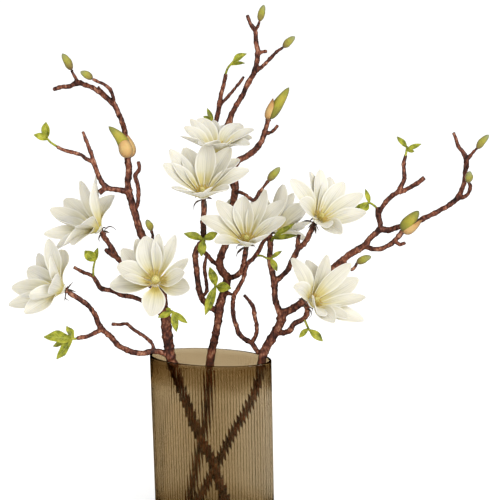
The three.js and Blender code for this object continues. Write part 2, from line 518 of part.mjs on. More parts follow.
function branchSolid(stems, number, grow) {
  const random = seeded(40 + number);
  const parts = stems.map((points) =>
    stem(points.map(place), points.map((point) => point[3]), grow, random),
  );
  for (const bloom of BLOOMS.filter((one) => one.branch === number)) {
    parts.push(receptacle(bloom, grow), ...sepals(bloom, grow, random));
  }
  const below = new THREE.BoxGeometry(400, 400, 100);
  below.translate(0, 0, VASE_FLOOR + SEAT_GAP - 50 - grow);
  return joined(parts).subtract(solidOf(below));
}

const STEMS = [LEFT_STEMS, CENTRE_STEMS, RIGHT_STEMS];
const branches = STEMS.map((stems, number) => branchSolid(stems, number, 0));
const roomed = joined(STEMS.map((stems, number) => branchSolid(stems, number, SEAT_GAP)));

// Cuts a piece back to leave the seat gap to the branches.
const seated = (solid) => largest(solid.subtract(roomed));

function petalsOf(bloom, number) {
  const random = seeded(700 + number);
  const axis = axisOf(bloom.axis);
  const base = place(bloom.base).addScaledVector(axis, SEAT_GAP + 0.05);
  const root = base.clone().addScaledVector(axis, 4);
  const profile = [[0, 0], [5, 0], [CORE_RADIUS, 4], [0.9 * CORE_RADIUS, CORE_HEIGHT], [0, CORE_HEIGHT]];
  const parts = [turned(profile, base, axis, 7)];
  for (const [right, up, side] of bloom.tips) {
    const flat = seen(right, up, bloom.base[2]).sub(root);
    const length = PETAL_LENGTH * (0.95 + 0.1 * random());
    const near = VIEWER.clone().multiplyScalar(flat.dot(VIEWER));
    flat.sub(near);
    const spare = Math.sqrt(Math.max(0, length * length - flat.lengthSq()));
    const tip = root.clone().add(flat).addScaledVector(VIEWER, spare * side);
    const reach = tip.clone().sub(root).normalize();
    const face = axis.clone().addScaledVector(reach, -axis.dot(reach)).normalize();
    const tilt = reach.angleTo(axis) / Math.PI;
    const out = reach.clone().addScaledVector(axis, -axis.dot(reach)).normalize();
    const start = root.clone().addScaledVector(axis, 2 - 6 * tilt).addScaledVector(out, ROOT_RADIUS);
    const width = PETAL_WIDTH * (0.92 + 0.16 * random());
    parts.push(blade(start, tip, face, width, PETAL_THICKNESS, 0.1, 0.2, PETAL_OUTLINE));
  }
  const low = CORE_HEIGHT + SEAT_GAP / 2;
  const room = [[0, low], [HEART_ROOM, low], [HEART_ROOM, 26], [0, 26]];
  return seated(joined(parts).subtract(turned(room, base, axis, 6)));
}

function heartOf(bloom, number) {
  const random = seeded(900 + number);
  const axis = axisOf(bloom.axis);
  const foot = place(bloom.base).addScaledVector(axis, 2 * SEAT_GAP + 0.05 + CORE_HEIGHT);
  const [across, other] = squareTo(axis);
  const profile = [[0, 0], [2.8, 0], [HEART_RADIUS, 4], [0, HEART_HEIGHT]];
  const parts = [turned(profile, foot, axis, 6)];
  for (let i = 0; i < STAMENS; i++) {
    const angle = (2 * Math.PI * (i + 0.5 * random())) / STAMENS;
    const out = across.clone().multiplyScalar(Math.cos(angle)).addScaledVector(other, Math.sin(angle));
    const start = foot.clone().addScaledVector(out, 1.5).addScaledVector(axis, 2.5);
    const end = foot
      .clone()
      .addScaledVector(out, 5)
      .addScaledVector(axis, 2.5 + STAMEN_LENGTH * (0.6 + 0.3 * random()));
    const along = end.clone().sub(start).normalize();
    const [u, v] = squareTo(along);
    const ring = (centre, radius) =>
      [0, 1, 2].map((k) =>
        centre
          .clone()
          .addScaledVector(u, radius * Math.cos((2 * Math.PI * k) / 3))
          .addScaledVector(v, radius * Math.sin((2 * Math.PI * k) / 3)),
      );
    parts.push(skin([ring(start, 0.9), ring(end, 0.7)]));
  }
  return joined(parts);
}

function budOf(bud) {
  const base = place(bud.base);
  const axis = place(bud.tip).sub(base);
  const long = axis.length();
  const r = bud.width / 2;
  const profile = [[0, -1], [1.8, -1], [0.8 * r, 0.16 * long], [r, 0.42 * long], [0.75 * r, 0.75 * long],
    [0, long]];
  return seated(turned(profile, base, axis, 6));
}

// A swelling bud is a husk with a closed green bud standing in its open top.
function huskOf(bud) {
  const base = place(bud.base);
  const axis = place(bud.tip).sub(base);
  const long = axis.length();
  const r = bud.width / 2;
  const profile = [[0, -1], [3, -1], [0.78 * r, 0.13 * long], [r, 0.32 * long], [0.96 * r, 0.46 * long],
    [0.96 * r - 1.8, 0.46 * long], [r - 1.8, 0.32 * long], [0.5 * r, 0.16 * long], [0, 0.14 * long]];
  return seated(turned(profile, base, axis, 7));
}

function tipOf(bud) {
  const base = place(bud.base);
  const axis = place(bud.tip).sub(base);
  const long = axis.length();
  const r = bud.width / 2 - 1.8 - SEAT_GAP;
  const profile = [[0, 0.14 * long + SEAT_GAP], [0.5 * r, 0.16 * long + 2 * SEAT_GAP],
    [r - 0.4, 0.32 * long], [r - 0.5, 0.5 * long], [0.76 * r, 0.7 * long], [0.4 * r, 0.88 * long], [0, long]];
  return turned(profile, base, axis, 7);
}

function sprigOf(sprig, number) {
  const random = seeded(300 + number);
  const parts = [stem(sprig.stalk.map(place), sprig.stalk.map((point) => point[3]), 0, random)];
  for (const [from, to, width] of sprig.leaves) {
    const tilt = new THREE.Vector3(0.5 * (random() - 0.5), 0, 0.5 * random());
    const face = VIEWER.clone().add(tilt);
    const outline = width > 14 ? LEAF_OUTLINE : SLIM_OUTLINE;
    parts.push(blade(place(from), place(to), face, width, LEAF_THICKNESS, -0.06, 0.1, outline));
  }
  return seated(joined(parts));
}

// ---- the group ----
const MATERIALS = {
  glass: { color: "#8a7850", roughness: 0.08, metalness: 0 },
  bark: { color: "#7a4433", roughness: 0.6, metalness: 0 },
  petal: { color: "#f1ecdc", roughness: 0.6, metalness: 0 },
  heart: { color: "#d9c46a", roughness: 0.6, metalness: 0 },
  husk: { color: "#c9a060", roughness: 0.7, metalness: 0 },
  bud: { color: "#8f9a35", roughness: 0.55, metalness: 0 },
  leaf: { color: "#a3aa38", roughness: 0.55, metalness: 0 },
};

const magnolia = new THREE.Group();

function put(name, solid, material, turn = 0) {
  const mesh = new THREE.Mesh(geometryOf(solid), new THREE.MeshStandardMaterial(MATERIALS[material]));
  mesh.name = name;
  mesh.rotation.z = THREE.MathUtils.degToRad(turn);
  magnolia.add(mesh);
}

put("vase", vaseSolid(0), "glass", VASE_TURN);
["branch_left", "branch_centre", "branch_right"].forEach((name, i) => put(name, branches[i], "bark"));
BLOOMS.forEach((bloom, i) => {
  put(`bloom_${i + 1}_petals`, petalsOf(bloom, i), "petal");
  put(`bloom_${i + 1}_heart`, heartOf(bloom, i), "heart");
});
BIG_BUDS.forEach((bud) => {
  put(`flower_bud_${bud.name}_husk`, huskOf(bud), "husk");
  put(`flower_bud_${bud.name}_tip`, tipOf(bud), "bud");
});
SMALL_BUDS.forEach((bud) => put(`leaf_bud_${bud.name}`, budOf(bud), "bud"));
SPRIGS.forEach((sprig, i) => put(`leaves_${sprig.name}`, sprigOf(sprig, i), "leaf"));

export default magnolia;
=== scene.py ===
"""Three magnolia branches in bloom, standing in an oval fluted vase of smoked glass."""
import math
import random

import bpy
from mathutils import Matrix, Vector


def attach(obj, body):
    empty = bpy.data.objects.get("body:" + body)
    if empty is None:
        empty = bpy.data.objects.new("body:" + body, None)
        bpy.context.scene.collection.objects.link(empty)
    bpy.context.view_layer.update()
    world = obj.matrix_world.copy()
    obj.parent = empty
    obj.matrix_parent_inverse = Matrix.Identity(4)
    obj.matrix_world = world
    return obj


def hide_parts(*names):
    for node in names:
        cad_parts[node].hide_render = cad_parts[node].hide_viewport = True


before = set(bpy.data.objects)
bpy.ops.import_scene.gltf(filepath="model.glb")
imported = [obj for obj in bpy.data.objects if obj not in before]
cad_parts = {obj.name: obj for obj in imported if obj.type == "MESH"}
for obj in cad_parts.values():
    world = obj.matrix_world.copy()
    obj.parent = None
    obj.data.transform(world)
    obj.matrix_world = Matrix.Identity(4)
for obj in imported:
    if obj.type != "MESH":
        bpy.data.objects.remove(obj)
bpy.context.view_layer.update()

bl_info = {
    "name": "Magnolia branches in a vase",
    "version": (1, 0, 0),
    "blender": (4, 5, 0),
    "location": "3D View > Sidebar > Magnolia",
    "description": "Models and finishes flowering magnolia branches and their fluted glass vase",
    "category": "Add Mesh",
}

# What parts a piece from the one that it sits on, in millimetres.
SEAT_GAP = 0.3

# A place is [right, up, front] in millimetres: right and up as the picture shows them in the
# plane through the vase's axis that faces the viewer, and front from that plane to the viewer.
# The vase's foot, the middle of the picture and its width are given in that plane too.
VIEW_DISTANCE = 2600
VIEW_ELEVATION = math.radians(15)
VIEW_ROLL = math.radians(1.2)
FOOT_SEEN = (1.1, -32)
VIEW_CENTRE = (57.6, 395.2)
VIEW_WIDTH = 800

VASE_HEIGHT = 270
VASE_LENGTH = 195
VASE_WIDTH = 88
VASE_WALL = 4
VASE_FLOOR = 9
VASE_TURN = -14

# A stem runs through points of [right, up, front, diameter]. A branch's first stem is its trunk.
LEFT_STEMS = (
    ((27, -34, 21, 15), (17, -4, 21, 15), (-5, 62, 17, 15), (-25, 100, 14, 15), (-40, 140, 11, 15),
     (-62, 202, 8, 16), (-69, 222, 8, 16), (-72, 242, 10, 16), (-76, 270, 13, 17), (-77, 290, 16, 15),
     (-81, 305, 18, 14), (-83, 322, 20, 16), (-90, 345, 18, 12), (-99, 375, 14, 10.5),
     (-107, 400, 12, 10), (-116, 420, 10, 11), (-122, 437, 8, 9.5), (-128, 460, 6, 10),
     (-136, 487, 3, 10), (-138, 503, 1, 8.5), (-136, 520, 0, 9), (-137, 545, 0, 6.5)),
    ((-136, 523, 0, 7), (-139, 540, -13, 7), (-141, 562, -19, 6.5), (-142, 582, -19, 6.5),
     (-147, 600, -18, 7), (-152, 612, -17, 6.5), (-160, 628, -18, 8), (-170, 637, -20, 6.5),
     (-180, 645, -22, 6), (-191, 653, -24, 6), (-205, 659, -26, 6), (-218, 663, -28, 7.5),
     (-232, 657, -31, 5.5), (-245, 656, -33, 5), (-257, 652, -35, 4)),
    ((-217, 662, -28, 4), (-222, 671, -29, 3.4), (-228, 683, -30, 3)),
    ((-160, 630, -18, 4.5), (-163, 645, -13, 4), (-169, 655, -11, 4), (-178, 661, -11, 3.6),
     (-187, 665, -12, 3.4), (-194, 669, -12, 3)),
    ((-160, 629, -18, 5), (-175, 644, -30, 4.5), (-186, 656, -38, 3.5)),
    ((-127, 458, 6, 5.5), (-122, 470, 12, 5), (-121, 485, 14, 5), (-122, 500, 15, 5),
     (-126, 514, 15, 5.5), (-120, 524, 15, 4.5), (-121, 537, 14, 3.5)),
    ((-137, 487, 3, 7), (-150, 491, 8, 7), (-165, 493, 12, 7), (-173, 496, 14, 8), (-181, 506, 15, 6.5),
     (-188, 523, 15, 6), (-193, 537, 14, 6.5), (-196, 548, 12, 5), (-201, 562, 10, 4.5),
     (-206, 574, 8, 4), (-210, 585, 6, 3)),
    ((-172, 496, 14, 7), (-178, 491, 17, 7), (-184, 487, 19, 6.5)),
    ((-193, 536, 14, 5), (-203, 540, 17, 4.5), (-212, 547, 19, 4.5), (-225, 551, 20, 4.5),
     (-240, 555, 20, 4), (-252, 561, 20, 3.5)),
    ((-84, 325, 20, 8), (-110, 345, 2, 8), (-136, 366, 0, 7.4), (-155, 383, 2, 7.2), (-161, 394, 4, 6.8),
     (-169, 406, 6, 6.4), (-179, 421, 8, 6.8)),
    ((-153, 382, 2, 5), (-165, 388, 8, 5), (-174, 397, 11, 4.5)),
    ((-84, 318, 20, 9), (-88, 327, 29, 8.5), (-92, 337, 38, 8.5)),
    ((-78, 287, 16, 7), (-92, 298, 14, 6.5), (-113, 313, 12, 6), (-130, 320, 12, 6), (-148, 323, 13, 6),
     (-162, 330, 14, 6), (-181, 334, 14, 6.5), (-188, 345, 13, 5.5), (-195, 354, 12, 5),
     (-210, 360, 10, 4.5), (-225, 368, 8, 3.5)),
    ((-73, 226, 8, 8), (-85, 232, 12, 7.6), (-99, 233, 17, 7.4), (-112, 230, 22, 7.4),
     (-127, 231, 27, 7.4), (-141, 236, 32, 7.4), (-152, 242, 36, 7), (-164, 255, 40, 7.4),
     (-176, 266, 44, 7.4), (-184, 275, 47, 7.4), (-189, 289, 50, 6.4), (-196, 300, 52, 6.4),
     (-206, 310, 54, 6.4), (-219, 319, 56, 6.4), (-232, 327, 58, 7)),
    ((-180, 268, 45, 6), (-192, 262, 50, 5.5), (-203, 257, 53, 5.5), (-213, 255, 55, 5),
     (-220, 254, 56, 4.5)),
    ((-96, 234, 16, 5), (-98, 243, 14, 4.5), (-105, 252, 12, 4.5), (-116, 260, 10, 4.5),
     (-130, 269, 9, 4), (-140, 277, 8, 4), (-151, 276, 7, 4), (-164, 277, 6, 3.5)),
    ((-107, 400, 12, 4), (-101, 409, 17, 3.6), (-98, 417, 20, 3.2), (-100, 427, 21, 3)),
)

CENTRE_STEMS = (
    ((-46, -34, -20, 14), (-40, -4, -20, 14), (-24, 80, -24, 14), (-15, 120, -27, 14),
     (-10, 180, -30, 14), (-5, 225, -33, 14), (-2, 240, -34, 12), (3, 262, -32, 11), (7, 284, -30, 12),
     (8, 300, -28, 16), (12, 316, -28, 13), (18, 336, -28, 13), (21, 351, -26, 14), (14, 360, -24, 11),
     (9, 371, -22, 11.5), (12, 388, -20, 10), (19, 405, -18, 10), (25, 435, -16, 10), (30, 465, -16, 10),
     (33, 486, -18, 10), (34, 505, -22, 10), (32, 523, -26, 9.5), (37, 537, -29, 9), (50, 544, -32, 8.4),
     (63, 553, -34, 8), (74, 566, -36, 8.2), (80, 580, -38, 7.2), (84, 594, -40, 6.6),
     (87, 605, -41, 6.6)),
    ((21, 351, -26, 8), (31, 352, -14, 7.5), (41, 358, -4, 7.5), (46, 368, 4, 7), (49, 382, 10, 7),
     (51, 397, 16, 7.5)),
    ((80, 582, -38, 4.5), (90, 583, -32, 4), (96, 587, -29, 4), (102, 595, -27, 3.2)),
    ((5, 297, -28, 8), (-8, 305, -22, 8), (-18, 316, -16, 8), (-23, 328, -12, 8.5), (-26, 345, -9, 7.5),
     (-28, 365, -7, 8), (-30, 385, -5, 8), (-27, 398, -3, 8), (-19, 408, 0, 8), (-17, 425, 3, 7.5),
     (-17, 442, 6, 7.5), (-16, 458, 9, 7.5), (-16, 473, 12, 8)),
    ((-20, 320, -15, 5), (-12, 329, -19, 5), (-13, 348, -21, 5), (-15, 368, -20, 5), (-12, 386, -18, 4)),
    ((9, 371, -22, 6), (-1, 376, -18, 6), (-8, 384, -13, 6), (-18, 394, -8, 6), (-27, 399, -4, 6)),
    ((11, 315, -28, 5), (17, 322, -23, 5), (23, 326, -20, 5), (31, 323, -18, 4)),
    ((33, 492, -19, 8), (24, 520, -60, 8), (18, 555, -84, 8), (21, 585, -88, 8.5), (24, 598, -88, 11),
     (28, 612, -88, 7.5), (36, 627, -86, 7), (46, 644, -84, 7), (54, 661, -82, 7.5), (63, 676, -80, 7.5),
     (68, 693, -78, 7), (70, 711, -77, 7.5), (67, 729, -76, 6), (66, 745, -75, 6.5), (59, 756, -75, 5),
     (53, 771, -75, 3.5)),
    ((69, 709, -77, 5), (77, 712, -74, 4.5), (85, 713, -72, 3.5)),
    ((66, 745, -75, 4), (70, 753, -73, 3.6), (73, 762, -72, 3)),
    ((65, 680, -80, 5.5), (75, 687, -76, 5), (83, 694, -73, 5), (91, 703, -71, 5), (101, 713, -69, 4),
     (111, 720, -67, 3)),
    ((26, 513, -50, 7), (5, 548, -98, 6.5), (-1, 585, -108, 6.5), (5, 608, -106, 6.5), (9, 630, -103, 7),
     (11, 643, -101, 6), (15, 658, -99, 5.5), (19, 677, -97, 4.5)),
    ((9, 627, -103, 4.5), (21, 639, -108, 4.2), (32, 652, -112, 4), (41, 663, -115, 4),
     (48, 673, -117, 3.2)),
    ((33, 489, -19, 5), (46, 486, -4, 4.5), (57, 478, 6, 4.5), (64, 475, 8, 4.5), (73, 488, 8, 4.2),
     (80, 497, 8, 4), (87, 506, 8, 3.2)),
    ((24, 519, -58, 6.5), (14, 532, -54, 6.5), (8, 544, -50, 7)),
)

RIGHT_STEMS = (
    ((-40, -34, 0, 14), (-25, -4, 0, 14), (8, 60, 2, 14), (30, 103, 4, 14), (55, 145, 6, 14),
     (72, 190, 9, 14), (78, 225, 13, 14), (84, 240, 8, 14), (92, 253, 9, 14), (99, 265, 10, 13),
     (106, 278, 10, 14), (110, 293, 10, 15), (117, 297, 8, 12), (127, 302, 5, 11), (141, 312, 1, 10.5),
     (158, 328, -4, 10), (176, 348, -8, 10), (195, 370, -12, 10), (206, 379, -13, 9.5),
     (217, 388, -14, 9.5), (229, 395, -15, 10), (241, 403, -16, 9.5), (250, 414, -17, 8),
     (258, 421, -18, 8), (266, 428, -18, 10), (280, 427, -17, 8), (292, 431, -15, 8),
     (305, 435, -15, 7.5), (322, 439, -16, 6.6), (336, 446, -17, 7.4), (351, 453, -18, 6.6),
     (366, 461, -19, 6.6), (380, 470, -20, 7), (391, 480, -20, 8), (396, 491, -20, 6.5),
     (401, 506, -20, 6.5), (402, 521, -20, 6.5), (404, 537, -20, 7.2), (399, 551, -20, 5.5),
     (391, 561, -20, 5), (387, 573, -20, 4.5), (383, 583, -20, 3.5)),
    ((109, 291, 10, 10), (103, 301, 11, 9), (98, 316, 11, 8.5), (97, 331, 10, 8.5), (96, 346, 8, 9),
     (93, 361, 4, 8), (89, 380, 0, 8), (90, 396, -4, 8), (90, 410, -8, 8), (89, 419, -11, 8.5)),
    ((97, 343, 8, 7), (110, 355, 12, 7), (118, 363, 15, 7), (123, 375, 17, 7), (129, 386, 18, 7.5),
     (134, 396, 19, 7), (140, 401, 20, 6.5), (147, 409, 22, 7), (153, 421, 24, 7), (158, 432, 26, 7.5)),
    ((133, 394, 19, 6), (134, 408, 16, 6), (136, 420, 14, 5)),
    ((265, 427, -18, 7), (266, 437, -20, 7), (263, 450, -22, 7), (261, 464, -24, 6)),
    ((263, 452, -22, 6), (272, 468, -18, 6.5), (285, 482, -16, 6.5), (294, 488, -15, 7),
     (299, 497, -15, 6), (304, 506, -16, 6), (304, 520, -16, 5.5), (304, 535, -16, 5),
     (307, 547, -16, 4)),
    ((292, 487, -15, 6), (304, 490, -11, 6), (315, 496, -9, 6), (325, 502, -8, 6.5), (337, 511, -7, 5.5)),
    ((403, 537, -20, 5), (409, 545, -17, 4.5), (415, 552, -15, 4), (421, 558, -14, 3.2)),
    ((391, 479, -20, 5.5), (400, 480, -14, 5), (408, 488, -10, 5), (410, 498, -8, 5), (407, 504, -4, 4)),
    ((239, 402, -16, 6.5), (254, 397, -8, 6.5), (266, 397, -2, 6.5), (278, 402, 2, 6.5),
     (288, 409, 5, 6.5), (296, 418, 7, 7), (302, 426, 8, 7.5)),
    ((290, 409, 5, 5), (298, 404, 9, 4.6), (306, 407, 11, 4)),
    ((97, 262, 10, 8), (110, 263, 18, 7.5), (121, 266, 26, 8), (128, 277, 32, 7), (140, 283, 38, 7),
     (147, 290, 42, 7), (150, 301, 45, 7.5)),
    ((206, 379, -13, 4.5), (214, 369, -6, 4), (221, 364, -3, 4), (226, 369, -1, 3.4), (229, 375, 0, 3)),
    ((80, 227, 7, 7), (69, 234, -2, 7), (60, 246, -8, 6.5), (49, 253, -12, 6.5), (41, 260, -14, 7),
     (36, 273, -14, 6), (31, 290, -12, 6), (30, 305, -11, 6.5), (32, 322, -10, 6), (40, 336, -10, 6),
     (47, 350, -10, 5.5), (53, 372, -9, 6), (62, 381, -8, 5.5), (70, 391, -8, 6), (77, 405, -9, 5),
     (86, 418, -10, 5)),
    ((60, 246, -8, 6), (68, 262, -3, 5.5), (68, 276, 0, 5.5), (65, 290, 2, 5.5), (63, 303, 3, 6),
     (57, 313, 5, 5), (48, 323, 7, 4)),
)

# How many millimetres bark adds to a branch's thin stems, and its stems.
BRANCHES = {"left": (1.5, LEFT_STEMS), "centre": (1.2, CENTRE_STEMS), "right": (1.2, RIGHT_STEMS)}

# A bloom's petals leave its axis, a [right, up, towards the viewer] step, by about opening degrees.
# A petal's tip is [right, up, side, shown, broad]: where it is seen, the share of its hidden length
# that goes towards the viewer, how far its face is turned to view, and its share of the usual width.
BLOOMS = (
    {"branch": "left", "base": (-238, 331, 59), "axis": (-0.86, 0.36, 0.36), "opening": 48, "tips": (
        (-269, 413, -0.3, 0.7), (-293, 387, -1), (-307, 363, -1), (-325, 335, -0.3),
        (-326, 310, 0.4, 0.5), (-295, 298, 0.7, 0.6), (-247, 396, -0.5, 0.6), (-258, 385, 0.8),
        (-287, 326, 0.75), (-254, 343, 0.7))},
    {"branch": "left", "base": (-181, 425, 9), "axis": (-0.72, 0.66, 0.2), "opening": 48, "tips": (
        (-197, 516, -1), (-220, 506, -0.6), (-246, 479, -1), (-264, 462, -0.3), (-271, 422, 0.3, 0.7),
        (-248, 398, 0.6, 0.4), (-234, 405, 0.9), (-192, 503, 0.8), (-167, 488, -0.7, 0.8), (-205, 434, 1),
        (-217, 402, 0.85, 0.5), (-252, 449, 0, 0, 1.2))},
    {"branch": "left", "knob": 1.6, "base": (-93, 341, 42), "axis": (0.02, 0.48, 0.87), "opening": 78,
     "tips": (
        (-125, 413, -0.1, 0, 0.9), (-110, 416, 0.3, 0.3, 1.2), (-89, 422, 0.4, 0.2, 0.66),
        (-76, 404, -0.2, 0, 0.7), (-63, 418, 0.15, 0, 0.62), (-40, 381, 0.3, 0, 0.66),
        (-37, 334, 0.55, 0, 1.2), (-98, 291, 0.67, 0, 1.15), (-163, 339, 0.6, 0, 1),
        (-154, 369, 0.45, 0, 1.35), (-150, 397, -0.3, 0, 1), (-139, 352, 0.8, 0, 0.8),
        (-48, 360, 0.6, 0, 0.85))},
    {"branch": "centre", "base": (6, 549, -48), "axis": (-0.05, 0.8, 0.4), "opening": 48, "tips": (
        (-38, 607, -0.2), (-46, 592, 0.3, 0.4), (-52, 574, 0.7), (-11, 610, -0.8), (64, 587, 0.3),
        (44, 600, -0.4), (56, 563, 0.7), (16, 602, -1), (-16, 562, 1), (22, 560, 1),
        (-25, 609, -0.5, 0, 1.1), (31, 602, -0.7, 0, 1.1), (61, 574, 0.1))},
    {"branch": "centre", "base": (-17, 479, 14), "axis": (-0.05, 0.72, 0.68), "opening": 46, "tips": (
        (-72, 557, -0.1), (-80, 533, 0.5), (-48, 562, -0.5), (-11, 569, 0.1), (26, 561, -0.4),
        (56, 524, 0.4), (-62, 493, 0.95), (22, 493, 0.95), (-15, 486, 0.95), (40, 543, -0.2))},
    {"branch": "centre", "base": (52, 403, 19), "axis": (0.02, 0.72, 0.69), "opening": 46, "tips": (
        (6, 475, 0.2), (47, 482, 0), (82, 493, 0.1), (113, 476, -0.2), (114, 447, 0.4),
        (-20, 449, 0.5, 0.4), (4, 408, 0.95), (86, 420, 0.95), (46, 409, 0.95), (27, 478, -0.7))},
    {"branch": "right", "base": (91, 424, -13), "axis": (0.6, 0.62, -0.45), "opening": 40, "tips": (
        (113, 500, -0.3), (150, 468, -0.3), (158, 440, -0.5), (70, 492, -0.5), (132, 486, -0.9),
        (148, 412, -0.6), (90, 470, -1), (128, 462, -1), (145, 436, -1))},
    {"branch": "right", "base": (162, 439, 28), "axis": (0.6, 0.64, 0.46), "opening": 48, "tips": (
        (122, 508, 0.4, 0.6), (156, 523, -0.5), (172, 526, -1), (211, 506, -0.6), (239, 486, -0.2),
        (242, 457, 0.3, 0.3), (200, 420, 0.9, 0.6), (134, 470, 0.85, 0.4), (176, 430, 0.95, 0.4),
        (190, 513, -0.9))},
    {"branch": "right", "base": (152, 307, 48), "axis": (0.74, 0.52, 0.42), "opening": 48, "tips": (
        (124, 382, 0.2, 0.6), (152, 380, -0.6, 0.5), (183, 387, -0.5), (220, 374, -0.4), (233, 349, -0.9),
        (242, 321, 0.2), (239, 283, 0.4, 0.6), (188, 282, 0.85, 0.6), (211, 288, 0.6, 0.5),
        (127, 338, 0.75, 0.5), (165, 298, 0.9))},
)

# Each small bud's place, base, tip and width.
SMALL_BUDS = (
    ("left_tip", (-228, 684, -30), (-243, 710, -34), 14.5),
    ("left_upper", (-195, 669.5, -12), (-214, 681, -8), 13.5),
    ("left_inner", (-100, 427, 21), (-108, 444, 24), 12.5),
    ("centre_side", (87, 506, 8), (106, 528, 12), 14),
    ("centre_top", (73, 762, -72), (80, 788, -70), 13),
    ("centre_outer", (111, 720, -67), (130, 737, -62), 13.5),
    ("right_lower", (229, 375, 0), (252, 385, 8), 14),
    ("right_tip", (421, 558, -14), (440, 580, -10), 13),
    ("right_upper", (407, 504, -4), (409, 521, 8), 14),
)

# A flower bud is its green tip, bowed in the middle, and husk scales, each a form cut by a plane.
BIG_BUDS = (
    {"name": "left", "base": (-139, 547, 1), "tip": (-169, 593.5, 14), "width": 19.5, "bow": (5, 2, 0),
     "scales": (
         {"base": (-134, 543, -2), "tip": (-141, 583, 0), "width": 22,
          "cut": (-139, 577, 0), "normal": (-0.8, 0.58, 0.1)},
         {"base": (-137, 543.5, 3), "tip": (-150, 582, 13), "width": 21.5,
          "cut": (-146, 564.5, 7), "normal": (-0.4, 0.85, -0.35)})},
    {"name": "centre", "base": (88, 605, -41), "tip": (120.5, 656, -32), "width": 18, "bow": (0, 1, 0),
     "scales": (
         {"base": (86, 603.5, -38.5), "tip": (94.5, 638, -29), "width": 14,
          "cut": (94, 622, -36), "normal": (0.95, -0.3, -0.1)},)},
    {"name": "right", "base": (302, 426, 8), "tip": (328, 458, 24), "width": 21, "bow": (-0.5, 0.5, 0),
     "scales": (
         {"base": (302.5, 424.5, 9), "tip": (333, 443, 25), "width": 19,
          "cut": (318, 435, 14), "normal": (-0.5, 0.84, -0.1)},)},
)

# A sprig's stalk has points of [right, up, front, diameter], and a leaf a start, an end and a width.
SPRIGS = (
    {"name": "left_arm", "stalk": ((-250, 560, 20, 2.6), (-262, 568, 21, 2.4), (-268, 575, 22, 2.2)),
     "leaves": (((-268, 574, 22), (-268, 601, 30), 15), ((-266, 572, 22), (-288, 580, 28), 12))},
    {"name": "left_twig", "stalk": ((-193, 353, 13, 2.6), (-193, 366, 20, 2.4), (-190, 380, 24, 2.2)),
     "leaves": (((-190, 378, 24), (-208, 395, 32), 17), ((-191, 376, 24), (-186, 399, 22), 9))},
    {"name": "left_low", "lobed": 0.16,
     "stalk": ((-218, 254, 56, 2.6), (-224, 253, 57, 2.6), (-230, 254, 58, 2.4)),
     "leaves": (((-226, 253, 57), (-272, 257, 68), 19), ((-224, 253, 57), (-236, 274, 50), 11),
                ((-227, 252, 58), (-252, 220, 66), 14), ((-226, 253, 57), (-258, 241, 42), 11))},
    {"name": "left_trunk", "stalk": ((-76, 294, 18, 2.6), (-68, 297, 30, 2.6), (-66, 297, 33, 2.4)),
     "leaves": (((-66, 297, 32), (-90, 287, 38), 10), ((-66, 297, 32), (-60, 264, 40), 12),
                ((-66, 297, 32), (-42, 278, 38), 10), ((-68, 297, 31), (-77, 302, 30), 7))},
    {"name": "centre_limb", "stalk": ((-17, 414, 1, 2.6), (-17, 413, 9, 2.5), (-17, 412, 15, 2.4)),
     "leaves": (((-17, 412, 14), (-49, 421, 20), 14), ((-17, 412, 14), (6, 423, 11), 13),
                ((-17, 412, 14), (-20, 385, 20), 14))},
    {"name": "centre_trunk", "stalk": ((16, 334, -27, 2.6), (7, 337, -14, 2.6), (1, 338, -9, 2.4)),
     "leaves": (((3, 338, -11), (-8, 369, -2), 14), ((4, 337, -12), (27, 334, 4), 17),
                ((3, 338, -11), (-14, 291, 3), 15))},
    {"name": "centre_top", "stalk": ((18, 675, -97, 2.6), (22, 686, -96, 2.6), (31, 697, -95, 2.4)),
     "leaves": (((30, 696, -95), (51, 710, -90), 13), ((26, 691, -95), (50, 695, -100), 7))},
    {"name": "centre_twig", "stalk": ((4, 603, -106, 2.6), (1, 601, -103, 2.5), (-3, 599, -100, 2.4)),
     "leaves": (((-2.2, 599.4, -100.8), (-17, 609, -104), 10),
                ((-1.4, 599.8, -101.4), (-11, 622, -108), 8))},
    {"name": "right_limb", "stalk": ((91, 409, -7, 2.6), (93, 413, 0, 2.5), (94, 415, 3, 2.4)),
     "leaves": (((93, 414, 1), (131, 437, 8), 9), ((94, 413, 1), (133, 419, 6), 9))},
    {"name": "right_twig",
     "stalk": ((66, 386, -8, 2.6), (76, 386, -2, 2.4), (85, 382, 8, 2.3), (92, 382, 13, 2.2)),
     "leaves": (((91, 382, 12), (109, 394, 15), 7), ((91, 382, 12), (101, 361, 20), 10))},
    {"name": "right_outer", "stalk": ((262, 461, -24, 2.6), (254, 468, -22, 2.6), (246, 472, -20, 2.4)),
     "leaves": (((247, 471, -20), (234, 457, -14), 15), ((249, 470, -21), (242, 493, -18), 8),
                ((248, 471, -21), (222, 461, -26), 7))},
    {"name": "right_arm", "stalk": ((306, 544, -16, 2.6), (308, 554, -14, 2.6), (309, 561, -13, 2.4)),
     "leaves": (((309, 559, -13), (291, 577, -8), 9), ((308, 556, -14), (332, 565, -6), 8),
                ((308, 554, -14), (321, 553, -18), 6))},
    {"name": "right_low", "stalk": ((144, 286, 40, 2.6), (149, 274, 50, 2.6), (153, 266, 54, 2.4)),
     "leaves": (((152, 268, 53), (174, 249, 58), 13), ((151, 270, 52), (136, 255, 56), 9))},
)


# ---- places ----
VIEWER = Vector((0, -math.cos(VIEW_ELEVATION), math.sin(VIEW_ELEVATION)))
VIEW_UP = Vector((0, math.sin(VIEW_ELEVATION), math.cos(VIEW_ELEVATION)))


def unroll(right, up):
    """A place in the picture, measured from the vase's foot, with the camera's roll taken out."""
    right, up = right - FOOT_SEEN[0], up - FOOT_SEEN[1]
    level, tilted = math.cos(VIEW_ROLL), math.sin(VIEW_ROLL)
    return right * level + up * tilted, up * level - right * tilted


